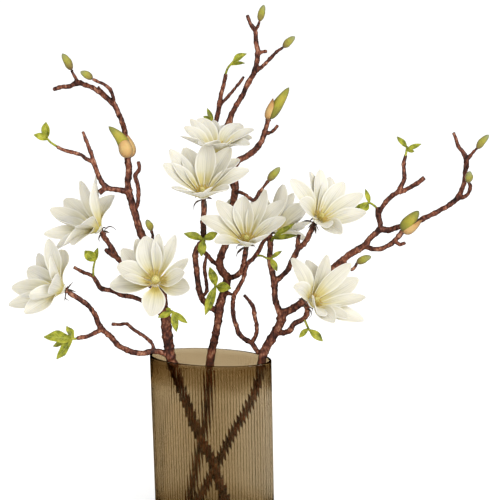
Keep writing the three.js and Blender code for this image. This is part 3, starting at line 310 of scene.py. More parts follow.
def seen(right, up, front):
    """The point in millimetres that is seen at right and up and lies that far in front."""
    steep, level = math.sin(VIEW_ELEVATION), math.cos(VIEW_ELEVATION)
    centre_right, centre_up = unroll(*VIEW_CENTRE)
    right, up = unroll(right, up)
    slope = (up - centre_up) / (VIEW_DISTANCE * level)
    high = (up - slope * front) / (1 + slope * steep)
    near = (high * steep + front) / level
    wide = centre_right + (right - centre_right) * (VIEW_DISTANCE - near) / VIEW_DISTANCE
    return Vector((wide, -front, high * level + near * steep))


def view_step(step):
    """A step [right, up, towards the viewer] of the photo's view, in the part's frame."""
    right, up, depth = step
    return Vector((right, 0, 0)) + VIEW_UP * up + VIEWER * depth


def axis_of(step):
    return view_step(step).normalized()


def square_to(axis):
    """Two directions square to an axis and to each other."""
    other = Vector((0, 0, 1)) if abs(axis.z) < 0.8 else Vector((1, 0, 0))
    across = other.cross(axis).normalized()
    return across, axis.cross(across)


def eased(start, end, value):
    """0 before start, 1 after end, and a smooth rise between them."""
    share = min(max((value - start) / (end - start), 0.0), 1.0)
    return share * share * (3 - 2 * share)


def read(values, share):
    """The value at a share from 0 to 1 along evenly spaced values."""
    spot = min(max(share, 0.0), 1.0) * (len(values) - 1)
    i = min(int(spot), len(values) - 2)
    return values[i] + (values[i + 1] - values[i]) * (spot - i)


def smooth_path(points, step):
    """Points every step millimetres along a smooth line through [place, diameter] pairs."""
    places = [p for p, _ in points]
    widths = [w for _, w in points]
    places = [places[0] * 2 - places[1]] + places + [places[-1] * 2 - places[-2]]
    path = []
    for i in range(len(points) - 1):
        p0, p1, p2, p3 = places[i:i + 4]
        knots = [0.0]
        for a, b in ((p0, p1), (p1, p2), (p2, p3)):
            knots.append(knots[-1] + max(1e-3, (b - a).length) ** 0.5)
        count = max(1, round((p2 - p1).length / step))
        for j in range(count):
            share = j / count
            t = knots[1] + (knots[2] - knots[1]) * share
            a1 = p0.lerp(p1, (t - knots[0]) / (knots[1] - knots[0]))
            a2 = p1.lerp(p2, (t - knots[1]) / (knots[2] - knots[1]))
            a3 = p2.lerp(p3, (t - knots[2]) / (knots[3] - knots[2]))
            b1 = a1.lerp(a2, (t - knots[0]) / (knots[2] - knots[0]))
            b2 = a2.lerp(a3, (t - knots[1]) / (knots[3] - knots[1]))
            path.append((b1.lerp(b2, share), widths[i] + (widths[i + 1] - widths[i]) * share))
    path.append((places[-2].copy(), widths[-1]))
    return path


# ---- materials ----
MULTIPLY = {"data_type": "RGBA", "blend_type": "MULTIPLY"}


def linear(colour):
    """The linear RGBA of an sRGB hex colour."""
    parts = [int(colour[i:i + 2], 16) / 255 for i in (1, 3, 5)]
    return tuple(p / 12.92 if p <= 0.04045 else ((p + 0.055) / 1.055) ** 2.4 for p in parts) + (1.0,)


def every(millimetres):
    """The scale of a pattern on Object coordinates, which are metres, with features that far apart."""
    return 1000 / millimetres


def add(tree, kind, settings=None, values=None, stops=(), **links):
    """One node with its settings, its inputs' values, a ramp's stops, and links as input=(node, output).

    A linked input goes by its name, or by i and its number.
    """
    node = tree.nodes.new("ShaderNode" + kind)
    for key, value in (settings or {}).items():
        setattr(node, key, value)
    for key, value in (values or {}).items():
        node.inputs[key].default_value = value
    if stops:
        elements = node.color_ramp.elements
        while len(elements) < len(stops):
            elements.new(0.5)
        for element, (place, colour) in zip(elements, stops):
            element.position = place
            element.color = colour
    for key, (source, output) in links.items():
        name = int(key[1:]) if key[0] == "i" and key[1:].isdigit() else key.replace("_", " ")
        tree.links.new(source.outputs[output], node.inputs[name])
    return node


def new_material(name, values):
    made = bpy.data.materials.new(name)
    made.use_nodes = True
    tree = made.node_tree
    tree.nodes.clear()
    shader = add(tree, "BsdfPrincipled", values=values)
    add(tree, "OutputMaterial", Surface=(shader, "BSDF"))
    return made, tree


def finish(tree, colour, height=None, strength=0.0, depth=0.0, sunken=False):
    """Gives a material's shader its colour and, from a height, a relief that is depth metres high."""
    shader = tree.nodes["Principled BSDF"]
    tree.links.new(colour[0].outputs[colour[1]], shader.inputs["Base Color"])
    if height:
        relief = add(tree, "Bump", {"invert": sunken}, {"Strength": strength, "Distance": depth},
                     Height=height)
        tree.links.new(relief.outputs[0], shader.inputs["Normal"])


def painted_edge_shade(tree, colour, least):
    """Painted shade: the colour, darkened to a share of itself where the surface turns away from the eye,
    stands in for the shade on a form's sides and outlines.
    """
    turned = add(tree, "LayerWeight", values={"Blend": 0.5})
    share = add(tree, "MapRange", values={
        "From Min": 0.12, "From Max": 0.8, "To Min": 1.0, "To Max": least}, Value=(turned, "Facing"))
    return add(tree, "Mix", MULTIPLY, {0: 1.0}, i6=colour, i7=(share, "Result")), 2


def height_along(tree, place, cloud, detail, reach):
    """How far along its piece a place is, shifted by clouds that many millimetres wide."""
    parts = add(tree, "SeparateXYZ", i0=(place, "UV"))
    clouds = add(tree, "TexNoise", values={"Scale": every(cloud), "Detail": detail}, Vector=(place, "Object"))
    shift = add(tree, "Math", {"operation": "MULTIPLY_ADD"}, {1: reach, 2: -reach / 2}, i0=(clouds, "Fac"))
    return add(tree, "Math", {"operation": "ADD"}, i0=(parts, "Y"), i1=(shift, 0)), 0


def from_middle(tree, place):
    """How far a place on a petal or a leaf lies to the side of its middle line, up to a half."""
    parts = add(tree, "SeparateXYZ", i0=(place, "UV"))
    middle = add(tree, "Math", {"operation": "SUBTRACT"}, {1: 0.5}, i0=(parts, "X"))
    return add(tree, "Math", {"operation": "ABSOLUTE"}, i0=(middle, 0)), 0


def smoked_glass(colours):
    """Blown soda glass, tinted olive brown through its mass: its edges look darkest."""
    made, tree = new_material("smoked soda glass", {
        "Base Color": (1, 1, 1, 1), "Roughness": 0.03, "IOR": 1.5, "Transmission Weight": 1.0})
    depth = add(tree, "VolumeAbsorption", values={
        "Color": colours.glass_tint, "Density": colours.glass_density})
    tree.links.new(depth.outputs[0], tree.nodes["Material Output"].inputs["Volume"])
    return made


def magnolia_bark(colours):
    """Thin young bark: red brown, waxy on the knuckles, with painted shade that makes its creases near black
    and a painted highlight on its paler ridges.
    """
    made, tree = new_material("magnolia bark", {"IOR": 1.45})
    place = add(tree, "TexCoord")
    # Ridges lie about 3 mm apart and are drawn out upwards; patches of weathering are 14 mm wide.
    grain = add(tree, "Mapping", values={"Scale": (1.0, 1.0, 0.45)}, Vector=(place, "Object"))
    ridges = add(tree, "TexNoise", values={"Scale": every(3.03), "Detail": 3.0, "Roughness": 0.6},
                 Vector=(grain, "Vector"))
    patches = add(tree, "TexNoise", values={"Scale": every(14.3), "Detail": 2.0}, Vector=(place, "Object"))
    both = add(tree, "Math", {"operation": "MULTIPLY_ADD"}, {1: 0.55, 2: -0.02}, i0=(ridges, "Fac"))
    tone = add(tree, "Math", {"operation": "MULTIPLY_ADD"}, {1: 0.5}, i0=(patches, "Fac"), i2=(both, 0))
    # The ridges' noise also sets the colour: painted shade in the creases and a painted highlight on the
    # ridge tops, mixed with the patches' own tone.
    colour = add(tree, "ValToRGB", i0=(tone, 0), stops=(
        (0.34, colours.bark_crease_shade), (0.46, colours.bark_brown), (0.56, colours.bark_red),
        (0.7, colours.bark_ridge_highlight)))
    # Painted shade darkens the bark strongly where it turns away from the eye.
    finish(tree, painted_edge_shade(tree, (colour, 0), 0.12), (ridges, "Fac"), 0.9, 0.0008)
    gloss = add(tree, "MapRange", values={"From Min": 0.35, "From Max": 0.7, "To Min": 0.55, "To Max": 0.22},
                Value=(patches, "Fac"))
    tree.links.new(gloss.outputs[0], tree.nodes["Principled BSDF"].inputs["Roughness"])
    return made


def petal_skin(colours):
    """A magnolia petal: thick, matt and creamy, greener in the throat, with faint long veins."""
    made, tree = new_material("magnolia petal", {
        "Roughness": 0.52, "IOR": 1.4, "Subsurface Weight": 0.22, "Subsurface Scale": 0.004,
        "Subsurface Radius": (1.0, 0.85, 0.5), "Sheen Weight": 0.12, "Sheen Roughness": 0.5})
    place = add(tree, "TexCoord")
    colour = add(tree, "ValToRGB", i0=height_along(tree, place, 18.2, 2.0, 0.16), stops=(
        (0.04, colours.petal_throat), (0.19, colours.petal_glow), (0.36, colours.petal_cream),
        (0.6, colours.petal_white)))
    # Veins run the length of a petal, 1.8 mm apart across its 33.5 mm.
    veins = add(tree, "Mapping", values={"Scale": (19.0, 1.3, 1.0)}, Vector=(place, "UV"))
    lines = add(tree, "TexNoise", values={"Scale": 1.0, "Detail": 2.0}, Vector=(veins, "Vector"))
    faint = add(tree, "MapRange", values={"From Min": 0.36, "From Max": 0.56, "To Min": 0.87, "To Max": 1.0},
                Value=(lines, "Fac"))
    veined = add(tree, "Mix", MULTIPLY, {0: 1.0}, i6=(colour, 0), i7=(faint, "Result"))
    # Painted shade darkens the keel along its fold, and a painted highlight makes the margins paler.
    aside = from_middle(tree, place)
    crease = add(tree, "MapRange", values={"From Max": 0.045, "To Min": 0.9, "To Max": 1.0}, Value=aside)
    keeled = add(tree, "Mix", MULTIPLY, {0: 1.0}, i6=(veined, 2), i7=(crease, "Result"))
    margin_highlight = add(tree, "MapRange", values={"From Min": 0.4, "From Max": 0.49, "To Max": 0.75}, Value=aside)
    edged = add(tree, "Mix", {"data_type": "RGBA"}, {7: colours.petal_edge_highlight},
                i0=(margin_highlight, "Result"), i6=(keeled, 2))
    # Painted shade darkens the petal where it turns away from the eye.
    finish(tree, painted_edge_shade(tree, (edged, 2), 0.88), (lines, "Fac"), 0.5, 0.001)
    return made


def pistil_flesh(colours):
    """The cone of pistils: waxy, pale yellow green, finely pitted."""
    made, tree = new_material("magnolia pistils", {
        "Roughness": 0.5, "IOR": 1.42, "Subsurface Weight": 0.15, "Subsurface Scale": 0.002})
    place = add(tree, "TexCoord")
    grain = add(tree, "TexNoise", values={"Scale": every(1.43), "Detail": 1.0}, Vector=(place, "Object"))
    colour = add(tree, "ValToRGB", i0=(grain, "Fac"), stops=(
        (0.35, colours.pistil_pit), (0.6, colours.pistil)))
    finish(tree, (colour, 0), (grain, "Fac"), 0.8, 0.0006)
    return made


def stamen_thread(colours):
    """Stamens: yellow threads that turn golden brown towards their ends."""
    made, tree = new_material("magnolia stamens", {"Roughness": 0.5, "IOR": 1.42})
    along = add(tree, "SeparateXYZ", i0=(add(tree, "TexCoord"), "UV"))
    colour = add(tree, "ValToRGB", i0=(along, "Y"), stops=(
        (0.1, colours.pistil), (0.55, colours.stamen), (0.95, colours.stamen_end)))
    finish(tree, (colour, 0))
    return made


def sepal_skin(colours):
    """Dried sepals: thin, curled, dark grey brown."""
    made, tree = new_material("dry sepal", {"Roughness": 0.6})
    grain = add(tree, "TexNoise", values={"Scale": every(3.85), "Detail": 2.0},
                Vector=(add(tree, "TexCoord"), "Object"))
    colour = add(tree, "ValToRGB", i0=(grain, "Fac"), stops=(
        (0.35, colours.sepal_dark), (0.65, colours.sepal_dry)))
    finish(tree, (colour, 0))
    return made


def leaf_skin(colours):
    """A young magnolia leaf: soft satin yellow green, paler along the veins."""
    made, tree = new_material("young magnolia leaf", {
        "Roughness": 0.42, "IOR": 1.45, "Subsurface Weight": 0.12, "Subsurface Scale": 0.002,
        "Subsurface Radius": (0.6, 1.0, 0.2)})
    place = add(tree, "TexCoord")
    parts = add(tree, "SeparateXYZ", i0=(place, "UV"))
    aside = from_middle(tree, place)
    # Side veins leave the midrib every ninth of the leaf and slant towards its tip.
    slant = add(tree, "Math", {"operation": "MULTIPLY_ADD"}, {1: -0.5}, i0=aside, i2=(parts, "Y"))
    count = add(tree, "Math", {"operation": "MULTIPLY"}, {1: 9.0}, i0=(slant, 0))
    saw = add(tree, "Math", {"operation": "PINGPONG"}, {1: 0.5}, i0=(count, 0))
    side_vein = add(tree, "MapRange", values={"From Max": 0.12, "To Min": 1.0, "To Max": 0.0}, Value=(saw, 0))
    midrib = add(tree, "MapRange", values={"From Max": 0.06, "To Min": 1.0, "To Max": 0.0}, Value=aside)
    vein = add(tree, "Math", {"operation": "MAXIMUM"}, i0=(side_vein, 0), i1=(midrib, 0))
    cloud = add(tree, "TexNoise", values={"Scale": every(8.33), "Detail": 2.0}, Vector=(place, "Object"))
    base = add(tree, "ValToRGB", i0=(cloud, "Fac"), stops=(
        (0.3, colours.leaf_deep), (0.5, colours.leaf_green), (0.7, colours.leaf_light)))
    amount = add(tree, "Math", {"operation": "MULTIPLY"}, {1: 0.55}, i0=(vein, 0))
    pale = add(tree, "Mix", {"data_type": "RGBA"}, {7: colours.leaf_vein}, i0=(amount, 0), i6=(base, 0))
    # Painted shade darkens the leaf where it turns away from the eye.
    finish(tree, painted_edge_shade(tree, (pale, 2), 0.5), (vein, 0), 0.6, 0.0006, sunken=True)
    return made


def bud_skin(name, stops, hair):
    """A bud's scale: downy, its colour running from its foot to its tip."""
    made, tree = new_material(name, {
        "Roughness": 0.55, "IOR": 1.45, "Sheen Weight": hair, "Sheen Roughness": 0.4,
        "Subsurface Weight": 0.08, "Subsurface Scale": 0.002})
    place = add(tree, "TexCoord")
    colour = add(tree, "ValToRGB", i0=height_along(tree, place, 5.88, 3.0, 0.4), stops=stops)
    # Fine down lies along the bud, drawn coarser than it is, about 1.3 mm apart, so that it shows.
    down = add(tree, "Mapping", values={"Scale": (40.0, 5.0, 1.0)}, Vector=(place, "UV"))
    lines = add(tree, "TexNoise", values={"Scale": 1.0, "Detail": 2.0}, Vector=(down, "Vector"))
    # Painted shade darkens the bud where it turns away from the eye.
    finish(tree, painted_edge_shade(tree, (colour, 0), 0.45), (lines, "Fac"), 0.4, 0.0005)
    return made


def opal_acrylic(colours):
    """A light table of opal acrylic: matt, white and faintly lit from below."""
    return new_material("opal acrylic", {
        "Base Color": colours.studio_floor, "Roughness": 0.9, "Specular IOR Level": 0.1,
        "Emission Color": colours.studio_floor, "Emission Strength": 0.14})[0]


# ---- meshes ----
def deselect():
    bpy.ops.object.select_all(action="DESELECT")


def select(*pieces):
    deselect()
    for piece in pieces:
        piece.select_set(True)
    bpy.context.view_layer.objects.active = pieces[0]


def edit_all():
    """Opens the active piece in edit mode with all of it selected."""
    bpy.ops.object.mode_set(mode="EDIT")
    bpy.ops.mesh.select_all(action="SELECT")


def extruded(piece, steps):
    """Extrudes a piece's flat face through [rise, widening] steps into a closed form."""
    edit_all()
    for rise, share in steps:
        bpy.ops.mesh.extrude_region_move(TRANSFORM_OT_translate={"value": (0, 0, rise)})
        bpy.ops.transform.resize(value=(share, share, 1))
    bpy.ops.mesh.select_all(action="SELECT")
    bpy.ops.mesh.normals_make_consistent(inside=False)
    bpy.ops.object.mode_set(mode="OBJECT")
    return piece


def joined(name, pieces):
    """Several objects made one."""
    select(*pieces)
    if len(pieces) > 1:
        bpy.ops.object.join()
    piece = bpy.context.view_layer.objects.active
    piece.name = piece.data.name = name
    return piece


def modified(piece, *modifiers):
    """Adds modifiers as (type, settings) and applies them in order."""
    select(piece)
    for kind, settings in modifiers:
        modifier = piece.modifiers.new(kind.title(), kind)
        for key, value in settings.items():
            setattr(modifier, key, value)
        bpy.ops.object.modifier_apply(modifier=modifier.name)
    return piece


def rounded(piece):
    return modified(piece, ("SUBSURF", {"levels": 1, "render_levels": 1}))


def thickened(piece, thickness, offset=0.0):
    """Gives a sheet a thickness in millimetres and rounds it."""
    modified(piece, ("SOLIDIFY", {"thickness": thickness / 1000, "offset": offset}))
    return rounded(piece)


def dressed(piece, material, slot, *nodes):
    """Gives a piece its material and its place in the frame; slot is not used."""
    piece.data.materials.clear()
    piece.data.materials.append(material)
    select(piece)
    bpy.ops.object.shade_smooth()
    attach(piece, "root")
    if nodes:
        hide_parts(*nodes)
    return piece


def copy_of(template, name):
    """A copy with a mesh of its own."""
    piece = bpy.data.objects.new(name, template.data.copy())
    bpy.context.scene.collection.objects.link(piece)
    return piece


def grid(name, across, along):
    """A flat grid to be shaped, with its UV map."""
    deselect()
    bpy.ops.mesh.primitive_grid_add(x_subdivisions=across, y_subdivisions=along, size=1)
    piece = bpy.context.object
    piece.name = name
    return piece


def ball(name, segments, rings):
    deselect()
    bpy.ops.mesh.primitive_uv_sphere_add(segments=segments, ring_count=rings, radius=1)
    piece = bpy.context.object
    piece.name = name
    return piece


def shape_blade(piece, root, tip, face, width, widths, rule):
    """Bends a grid into a sepal or a leaf from root to tip, in millimetres, its upper side to face."""
    along = tip - root
    length = along.length
    along.normalize()
    inner = (face - along * face.dot(along)).normalized()
    side = along.cross(inner)
    for vertex in piece.data.vertices:
        s, t = -2 * vertex.co.x, vertex.co.y + 0.5
        half = 0.5 * width * read(widths, t) * (1 + rule["ripple"] * math.sin(9 * t + rule["phase"]) * s)
        turn = rule["twist"] * t
        curl = rule["cup"] * (1.25 - 0.8 * t)
        reach = half * math.sin(s * curl) / curl
        rise = half * (1 - math.cos(s * curl)) / curl - rule["crease"] * half * (1 - abs(s)) * (1 - t)
        rise += rule["wave"] * half * s * s * math.sin(7.5 * t + rule["phase"] + (2 if s > 0 else 0)) * t
        sink = -rule["bow"] * length * math.sin(math.pi * t)
        sink += rule["tip"] * length * eased(0.72, 1.0, t) * 0.12
        over = reach * math.cos(turn) - rise * math.sin(turn)
        up = reach * math.sin(turn) + rise * math.cos(turn) + sink
        place = root + along * (length * t) + side * over + inner * up
        vertex.co = place * 0.001


def shape_ball(piece, base, tip, radius, radii, bow=Vector(), ridges=0.0, phase=0.0):
    """Turns a ball into a round form from base to tip, in millimetres, its middle moved by bow."""
    axis = tip - base
    long = axis.length
    axis.normalize()
    across, other = square_to(axis)
    for vertex in piece.data.vertices:
        t = math.acos(max(-1.0, min(1.0, -vertex.co.z))) / math.pi
        angle = math.atan2(vertex.co.y, vertex.co.x)
        wide = radius * read(radii, t) if 0 < t < 1 else 0.0
        if 0.001 < t < 0.999:
            wide *= 1 + ridges * math.sin(3 * angle + 5 * t + phase)
        place = base + axis * (long * t)
        place = place + across * (wide * math.cos(angle)) + other * (wide * math.sin(angle))
        place += bow * math.sin(math.pi * t)
        vertex.co = place * 0.001


def tubes(name, paths):
    """Round tubes through [place, diameter] points in millimetres, as one mesh."""
    deselect()
    bpy.ops.curve.primitive_bezier_curve_add()
    piece = bpy.context.object
    piece.name = name
    curve = piece.data
    curve.splines.clear()
    curve.dimensions = "3D"
    curve.bevel_depth = 1.0
    curve.bevel_resolution = 3
    curve.use_fill_caps = True
    curve.twist_mode = "MINIMUM"
    for path in paths:
        spline = curve.splines.new("POLY")
        spline.points.add(len(path) - 1)
        for point, (place, width) in zip(spline.points, path):
            point.co = (*(place * 0.001), 1)
            point.radius = width / 2000
    select(piece)
    bpy.ops.object.convert(target="MESH")
    return bpy.context.object


# ---- vase ----
# Where the edges lie across one flute: closest beside the groove that parts it from the next.
FLUTE_EDGES = (0, 0.055, 0.11, 0.18, 0.27, 0.38, 0.5, 0.62, 0.73, 0.82, 0.89, 0.945)
# Flutes and inner grooves fade out between these heights, below the plain rim.
FLUTE_END = (VASE_HEIGHT - 7.5, VASE_HEIGHT - 4.5)
FOOT_EDGE = ((0, 3.2), (0.9, 1.1), (2.6, 0.3), (5, 0))
FLOOR_CURVE = 5
# The share of its thickness that the wall loses below the rim, and steps in it along the vase:
# how much more, from where, to where.
WALL_LOSS = 0.38
WALL_LOSS_STEPS = ((-0.1, -80, -10), (0.22, 5, 85), (0.12, 80, 97))
OVAL_STEPS = 6000


def vase_profile():
    """[height, inset] from the foot up the outside, over the rim and down the inside to the floor."""
    half = VASE_WALL / 2
    outside = [(VASE_HEIGHT * share, 0) for share in (0.25, 0.5, 0.75)]
    outside += [(VASE_HEIGHT - below, 0) for below in (8, 7, 6, 5, 4)]
    rim = [(VASE_HEIGHT - half + half * math.sin(a), half - half * math.cos(a))
           for a in (math.pi * i / 8 for i in range(9))]
    inside = [(VASE_HEIGHT - below, VASE_WALL) for below in (4.5, 6, 8, 24, 34, 44, 54, 64, 76)]
    inside += [(height, VASE_WALL) for height in (VASE_HEIGHT / 2, 80, 65, 50, 35, 22)]
    curve = [(VASE_FLOOR + FLOOR_CURVE * (1 - math.sin(a)), VASE_WALL + FLOOR_CURVE * (1 - math.cos(a)))
             for a in (math.pi * i / 10 for i in range(6))]
    return list(FOOT_EDGE) + outside + rim + inside + curve


def oval_steps(shares):
    """Points and outward directions on the vase's oval, at shares of the way round it."""
    long, wide = VASE_LENGTH / 2, VASE_WIDTH / 2
    spots = [Vector((long * math.cos(a), wide * math.sin(a)))
             for a in (2 * math.pi * i / OVAL_STEPS for i in range(OVAL_STEPS + 1))]
    lengths = [0.0]
    for a, b in zip(spots, spots[1:]):
        lengths.append(lengths[-1] + (b - a).length)
    steps, i = [], 0
    for share in shares:
        goal = lengths[-1] * share
        while lengths[i + 1] < goal:
            i += 1
        angle = 2 * math.pi * (i + (goal - lengths[i]) / (lengths[i + 1] - lengths[i])) / OVAL_STEPS
        out = Vector((math.cos(angle) / long, math.sin(angle) / wide)).normalized()
        steps.append((Vector((long * math.cos(angle), wide * math.sin(angle))), out))
    return steps


def wall_share(x, z):
    """The blown wall's thickness at a place, as a share of its thickness at the rim."""
    lost = sum((amount * eased(start, end, x) for amount, start, end in WALL_LOSS_STEPS), WALL_LOSS)
    swell = 1.15 - 0.15 * eased(VASE_HEIGHT - 8, VASE_HEIGHT - 4, z)
    rim = eased(VASE_HEIGHT - 76, VASE_HEIGHT - 24, z) * swell
    rim *= 1 - 0.3 * eased(50, 95, x) * (1 - eased(VASE_HEIGHT - 12, VASE_HEIGHT - 4, z))
    return max(rim, 1 - lost * eased(15, 50, z))


def groove_share(x, z):
    """How deep the inner grooves are: deeper at the left and below the thick band of the rim."""
    return 1 + 0.7 * (1 - eased(-70, 15, x)) * (1 - eased(175, 235, z))


def set_on_oval(piece, sizes):
    """Moves a round shell, a metre in radius with its insets at full size, to the fluted oval."""
    edges = len(FLUTE_EDGES)
    count = sizes.flutes * edges
    steps = oval_steps([(k // edges + FLUTE_EDGES[k % edges]) / sizes.flutes for k in range(count)])
    turn = Matrix.Rotation(math.radians(VASE_TURN), 2)
    for vertex in piece.data.vertices:
        x, y, z = vertex.co
        height = z * 1000
        inset = (1 - math.hypot(x, y)) * 1000
        k = round(math.atan2(y, x) / (2 * math.pi) * count) % count
        spot, out = steps[k]
        across = FLUTE_EDGES[k % edges]
        fade = 1 - eased(*FLUTE_END, height)
        if inset < VASE_WALL / 2:
            inset += 1000 * sizes.flute_rise * (2 * across - 1) ** 2 * fade
        elif inset < VASE_WALL + 0.1:
            beside = min(across, 1 - across) / FLUTE_EDGES[2]
            inset *= wall_share(spot.x, height)
            inset -= 1000 * sizes.groove_depth * groove_share(spot.x, height) * max(0, 1 - beside) * fade
        spot = turn @ (spot - out * inset)
        vertex.co = (spot.x / 1000, spot.y / 1000, z)


class MAGNOLIA_OT_vase(bpy.types.Operator):
    """Oval vase of smoked glass, fluted outside and finely grooved within, with a plain rim"""
    bl_idname = "magnolia.vase"
    bl_label = "Fluted vase"

    def execute(self, context):
        sizes = context.scene.magnolia_sizes
        profile = vase_profile()
        radii = [1 - inset / 1000 for _, inset in profile]
        rises = [(high - low) / 1000 for (low, _), (high, _) in zip(profile, profile[1:])]
        deselect()
        bpy.ops.mesh.primitive_circle_add(
            vertices=sizes.flutes * len(FLUTE_EDGES), radius=radii[0], fill_type="NGON")
        piece = extruded(bpy.context.object, zip(rises, (b / a for a, b in zip(radii, radii[1:]))))
        set_on_oval(piece, sizes)
        piece.name = piece.data.name = "fluted_vase"
        dressed(piece, smoked_glass(context.scene.magnolia_colours), "smoked_glass", "vase")
        bpy.ops.object.shade_smooth_by_angle(angle=math.radians(28))
        return {"FINISHED"}


# ---- branches ----
KNUCKLE_GAP = (13, 27)
KNUCKLE_SWELL = (0.08, 0.22)
KNUCKLE_LENGTH = 1.9
# The end of a bloom's stalk: how far below the bloom's base, and how wide.
STALK_END = ((9, 6), (4, 7.4), (SEAT_GAP, 10))
# The grain that the tubes are fused to, in metres.
BARK_GRAIN = 0.00094


def knuckled(path, chance):
    """Swells a stem where old leaf scars ring it, every few centimetres."""
    run, goal, swelling = 0.0, chance.uniform(5, 14), []
    for i in range(1, len(path)):
        run += (path[i][0] - path[i - 1][0]).length
        if run > goal:
            swelling.append((run, chance.uniform(*KNUCKLE_SWELL)))
            goal = run + chance.uniform(*KNUCKLE_GAP)
    run, made = 0.0, []
    for i, (spot, width) in enumerate(path):
        if i:
            run += (spot - path[i - 1][0]).length
        swell = sum(size * math.exp(-((run - at) / KNUCKLE_LENGTH) ** 2) for at, size in swelling)
        made.append((spot, width * (1 + swell)))
    return made


def branch_mesh(name, stems, blooms, bark, chance):
    """One branch of tubes, its twigs bark millimetres thicker, remeshed and roughened."""
    paths = []
    for stem in stems:
        points = [(seen(*place), width + bark * (1 - eased(10, 15, width))) for *place, width in stem]
        paths.append(knuckled(smooth_path(points, 1.6), chance))
    for bloom in blooms:
        base, axis = seen(*bloom["base"]), axis_of(bloom["axis"])
        paths.append([(base - axis * below, width) for below, width in STALK_END])
    piece = tubes(name, paths)
    ridges = bpy.data.textures.new("bark ridges", "CLOUDS")
    ridges.noise_scale = 0.006
    ridges.noise_depth = 2
    modified(piece,
             ("REMESH", {"mode": "VOXEL", "voxel_size": BARK_GRAIN}),
             ("SMOOTH", {"factor": 0.5, "iterations": 2}),
             ("DISPLACE", {
                 "texture": ridges, "texture_coords": "LOCAL", "strength": 0.0021, "mid_level": 0.52}))
    edit_all()
    floor = (VASE_FLOOR + SEAT_GAP) / 1000
    bpy.ops.mesh.bisect(plane_co=(0, 0, floor), plane_no=(0, 0, 1), use_fill=True, clear_inner=True)
    bpy.ops.object.mode_set(mode="OBJECT")
    return piece


class MAGNOLIA_OT_branches(bpy.types.Operator):
    """Three forked branches with knuckled bark, standing on the floor of the vase"""
    bl_idname = "magnolia.branches"
    bl_label = "Branches"

    def execute(self, context):
        bark = magnolia_bark(context.scene.magnolia_colours)
        for number, (side, (thicker, stems)) in enumerate(BRANCHES.items()):
            blooms = [bloom for bloom in BLOOMS if bloom["branch"] == side]
            piece = branch_mesh(f"{side}_branch", stems, blooms, thicker, random.Random(20 + number))
            dressed(piece, bark, "bark", f"branch_{side}")
        return {"FINISHED"}


# ---- blooms ----
PETAL_WIDTHS = (0.26, 0.32, 0.42, 0.55, 0.69, 0.82, 0.92, 0.98, 1.0, 0.99, 0.94, 0.85, 0.71, 0.5, 0.16)
SEPAL_WIDTHS = (0.5, 0.8, 1.0, 1.0, 0.85, 0.6, 0.3, 0.08)
SEPALS = 5
# The disc that carries the petals stands clear of its stalk, and the cone of pistils of the disc.
DISC_START = SEAT_GAP + 0.05
DISC_RADIUS = 8.6
DISC_HEIGHT = 8
DISC_RADII = (0.0, 0.62, 0.86, 1.0, 1.0, 0.9, 0.0)
CONE_RADIUS = 4.2
CONE_HEIGHT = 13
CONE_RADII = (0.7, 0.85, 0.95, 1.0, 0.98, 0.9, 0.72, 0.45, 0.0)
STAMENS = 38
GOLDEN_TURN = 0.381966
# How a stamen widens along its length.
STAMEN_SWELLS = (0.9, 1.0, 1.25, 1.15, 0.35)


def shape_petal(petal, start, tip, axis, opening, width, shown, chance):
    """Bends a grid into a petal, in millimetres, from the disc to its tip; shown turns its face to view."""
    chord = tip - start
    out = (chord - axis * chord.dot(axis)).normalized()
    side = out.cross(axis).normalized()
    spread = chord.angle(axis)
    opening = min(max(math.radians(opening), spread - math.radians(26)), spread + math.radians(16))
    leaving = axis * math.cos(opening) + out * math.sin(opening)
    elbow = start + leaving * chord.length * chance.uniform(0.4, 0.5)
    elbow += side * chord.length * chance.uniform(-0.05, 0.05)
    cup, keel = chance.uniform(0.75, 1.15), chance.uniform(0.08, 0.2)
    twist, wave, phase = chance.uniform(-0.3, 0.3), chance.uniform(0.02, 0.09), chance.uniform(0, 6.28)
    curl = chance.uniform(-0.1, 0.03)
    ahead = chord.normalized()
    inner = side.cross(ahead).normalized()
    facing = VIEWER - ahead * VIEWER.dot(ahead)
    shown *= math.atan2(inner.cross(facing).dot(ahead), inner.dot(facing))
    for vertex in petal.data.vertices:
        s, v = 2 * vertex.co.x, vertex.co.y + 0.5
        t = 0.5 * v + 0.5 * math.sin(math.pi / 2 * v)
        middle = start * (1 - t) ** 2 + elbow * 2 * t * (1 - t) + tip * t * t
        ahead = ((elbow - start) * (1 - t) + (tip - elbow) * t).normalized()
        half = 0.5 * width * read(PETAL_WIDTHS, t)
        half *= 1 + 0.05 * math.sin(5 * t + phase) * s
        bend = cup * (1 - 0.6 * t)
        reach = half * math.sin(s * bend) / bend
        rise = half * (1 - math.cos(s * bend)) / bend + keel * half * (abs(s) - 0.5)
        rise += wave * half * s * s * math.sin(7 * t + phase + (2 if s > 0 else 0)) * t
        turn = twist * t - shown * eased(0, 0.6, t)
        across = side * math.cos(turn) + side.cross(ahead) * math.sin(turn)
        inner = across.cross(ahead)
        place = middle + across * reach + inner * (rise + curl * chord.length * eased(0.6, 1.0, t) * 0.5)
        vertex.co = place * 0.001


def petal(piece, root, bloom, sizes, chance, right, up, side, shown=0, broad=1):
    """Shapes one petal of a bloom, from its disc's middle at root to its tip in the picture."""
    axis = axis_of(bloom["axis"])
    flat = seen(right, up, bloom["base"][2]) - root
    flat -= VIEWER * flat.dot(VIEWER)
    length = sizes.petal_length * 1000 * chance.uniform(0.96, 1.04)
    spare = math.sqrt(max(0.0, length * length - flat.length_squared))
    tip = root + flat + VIEWER * (spare * side)
    reach = (tip - root).normalized()
    tilt = reach.angle(axis) / math.pi
    out = (reach - axis * reach.dot(axis)).normalized()
    start = root + axis * (2 - 6 * tilt) + out * 6
    width = sizes.petal_width * 1000 * chance.uniform(0.84, 1.12) * broad
    shape_petal(piece, start, tip, axis, bloom["opening"], width, shown, chance)


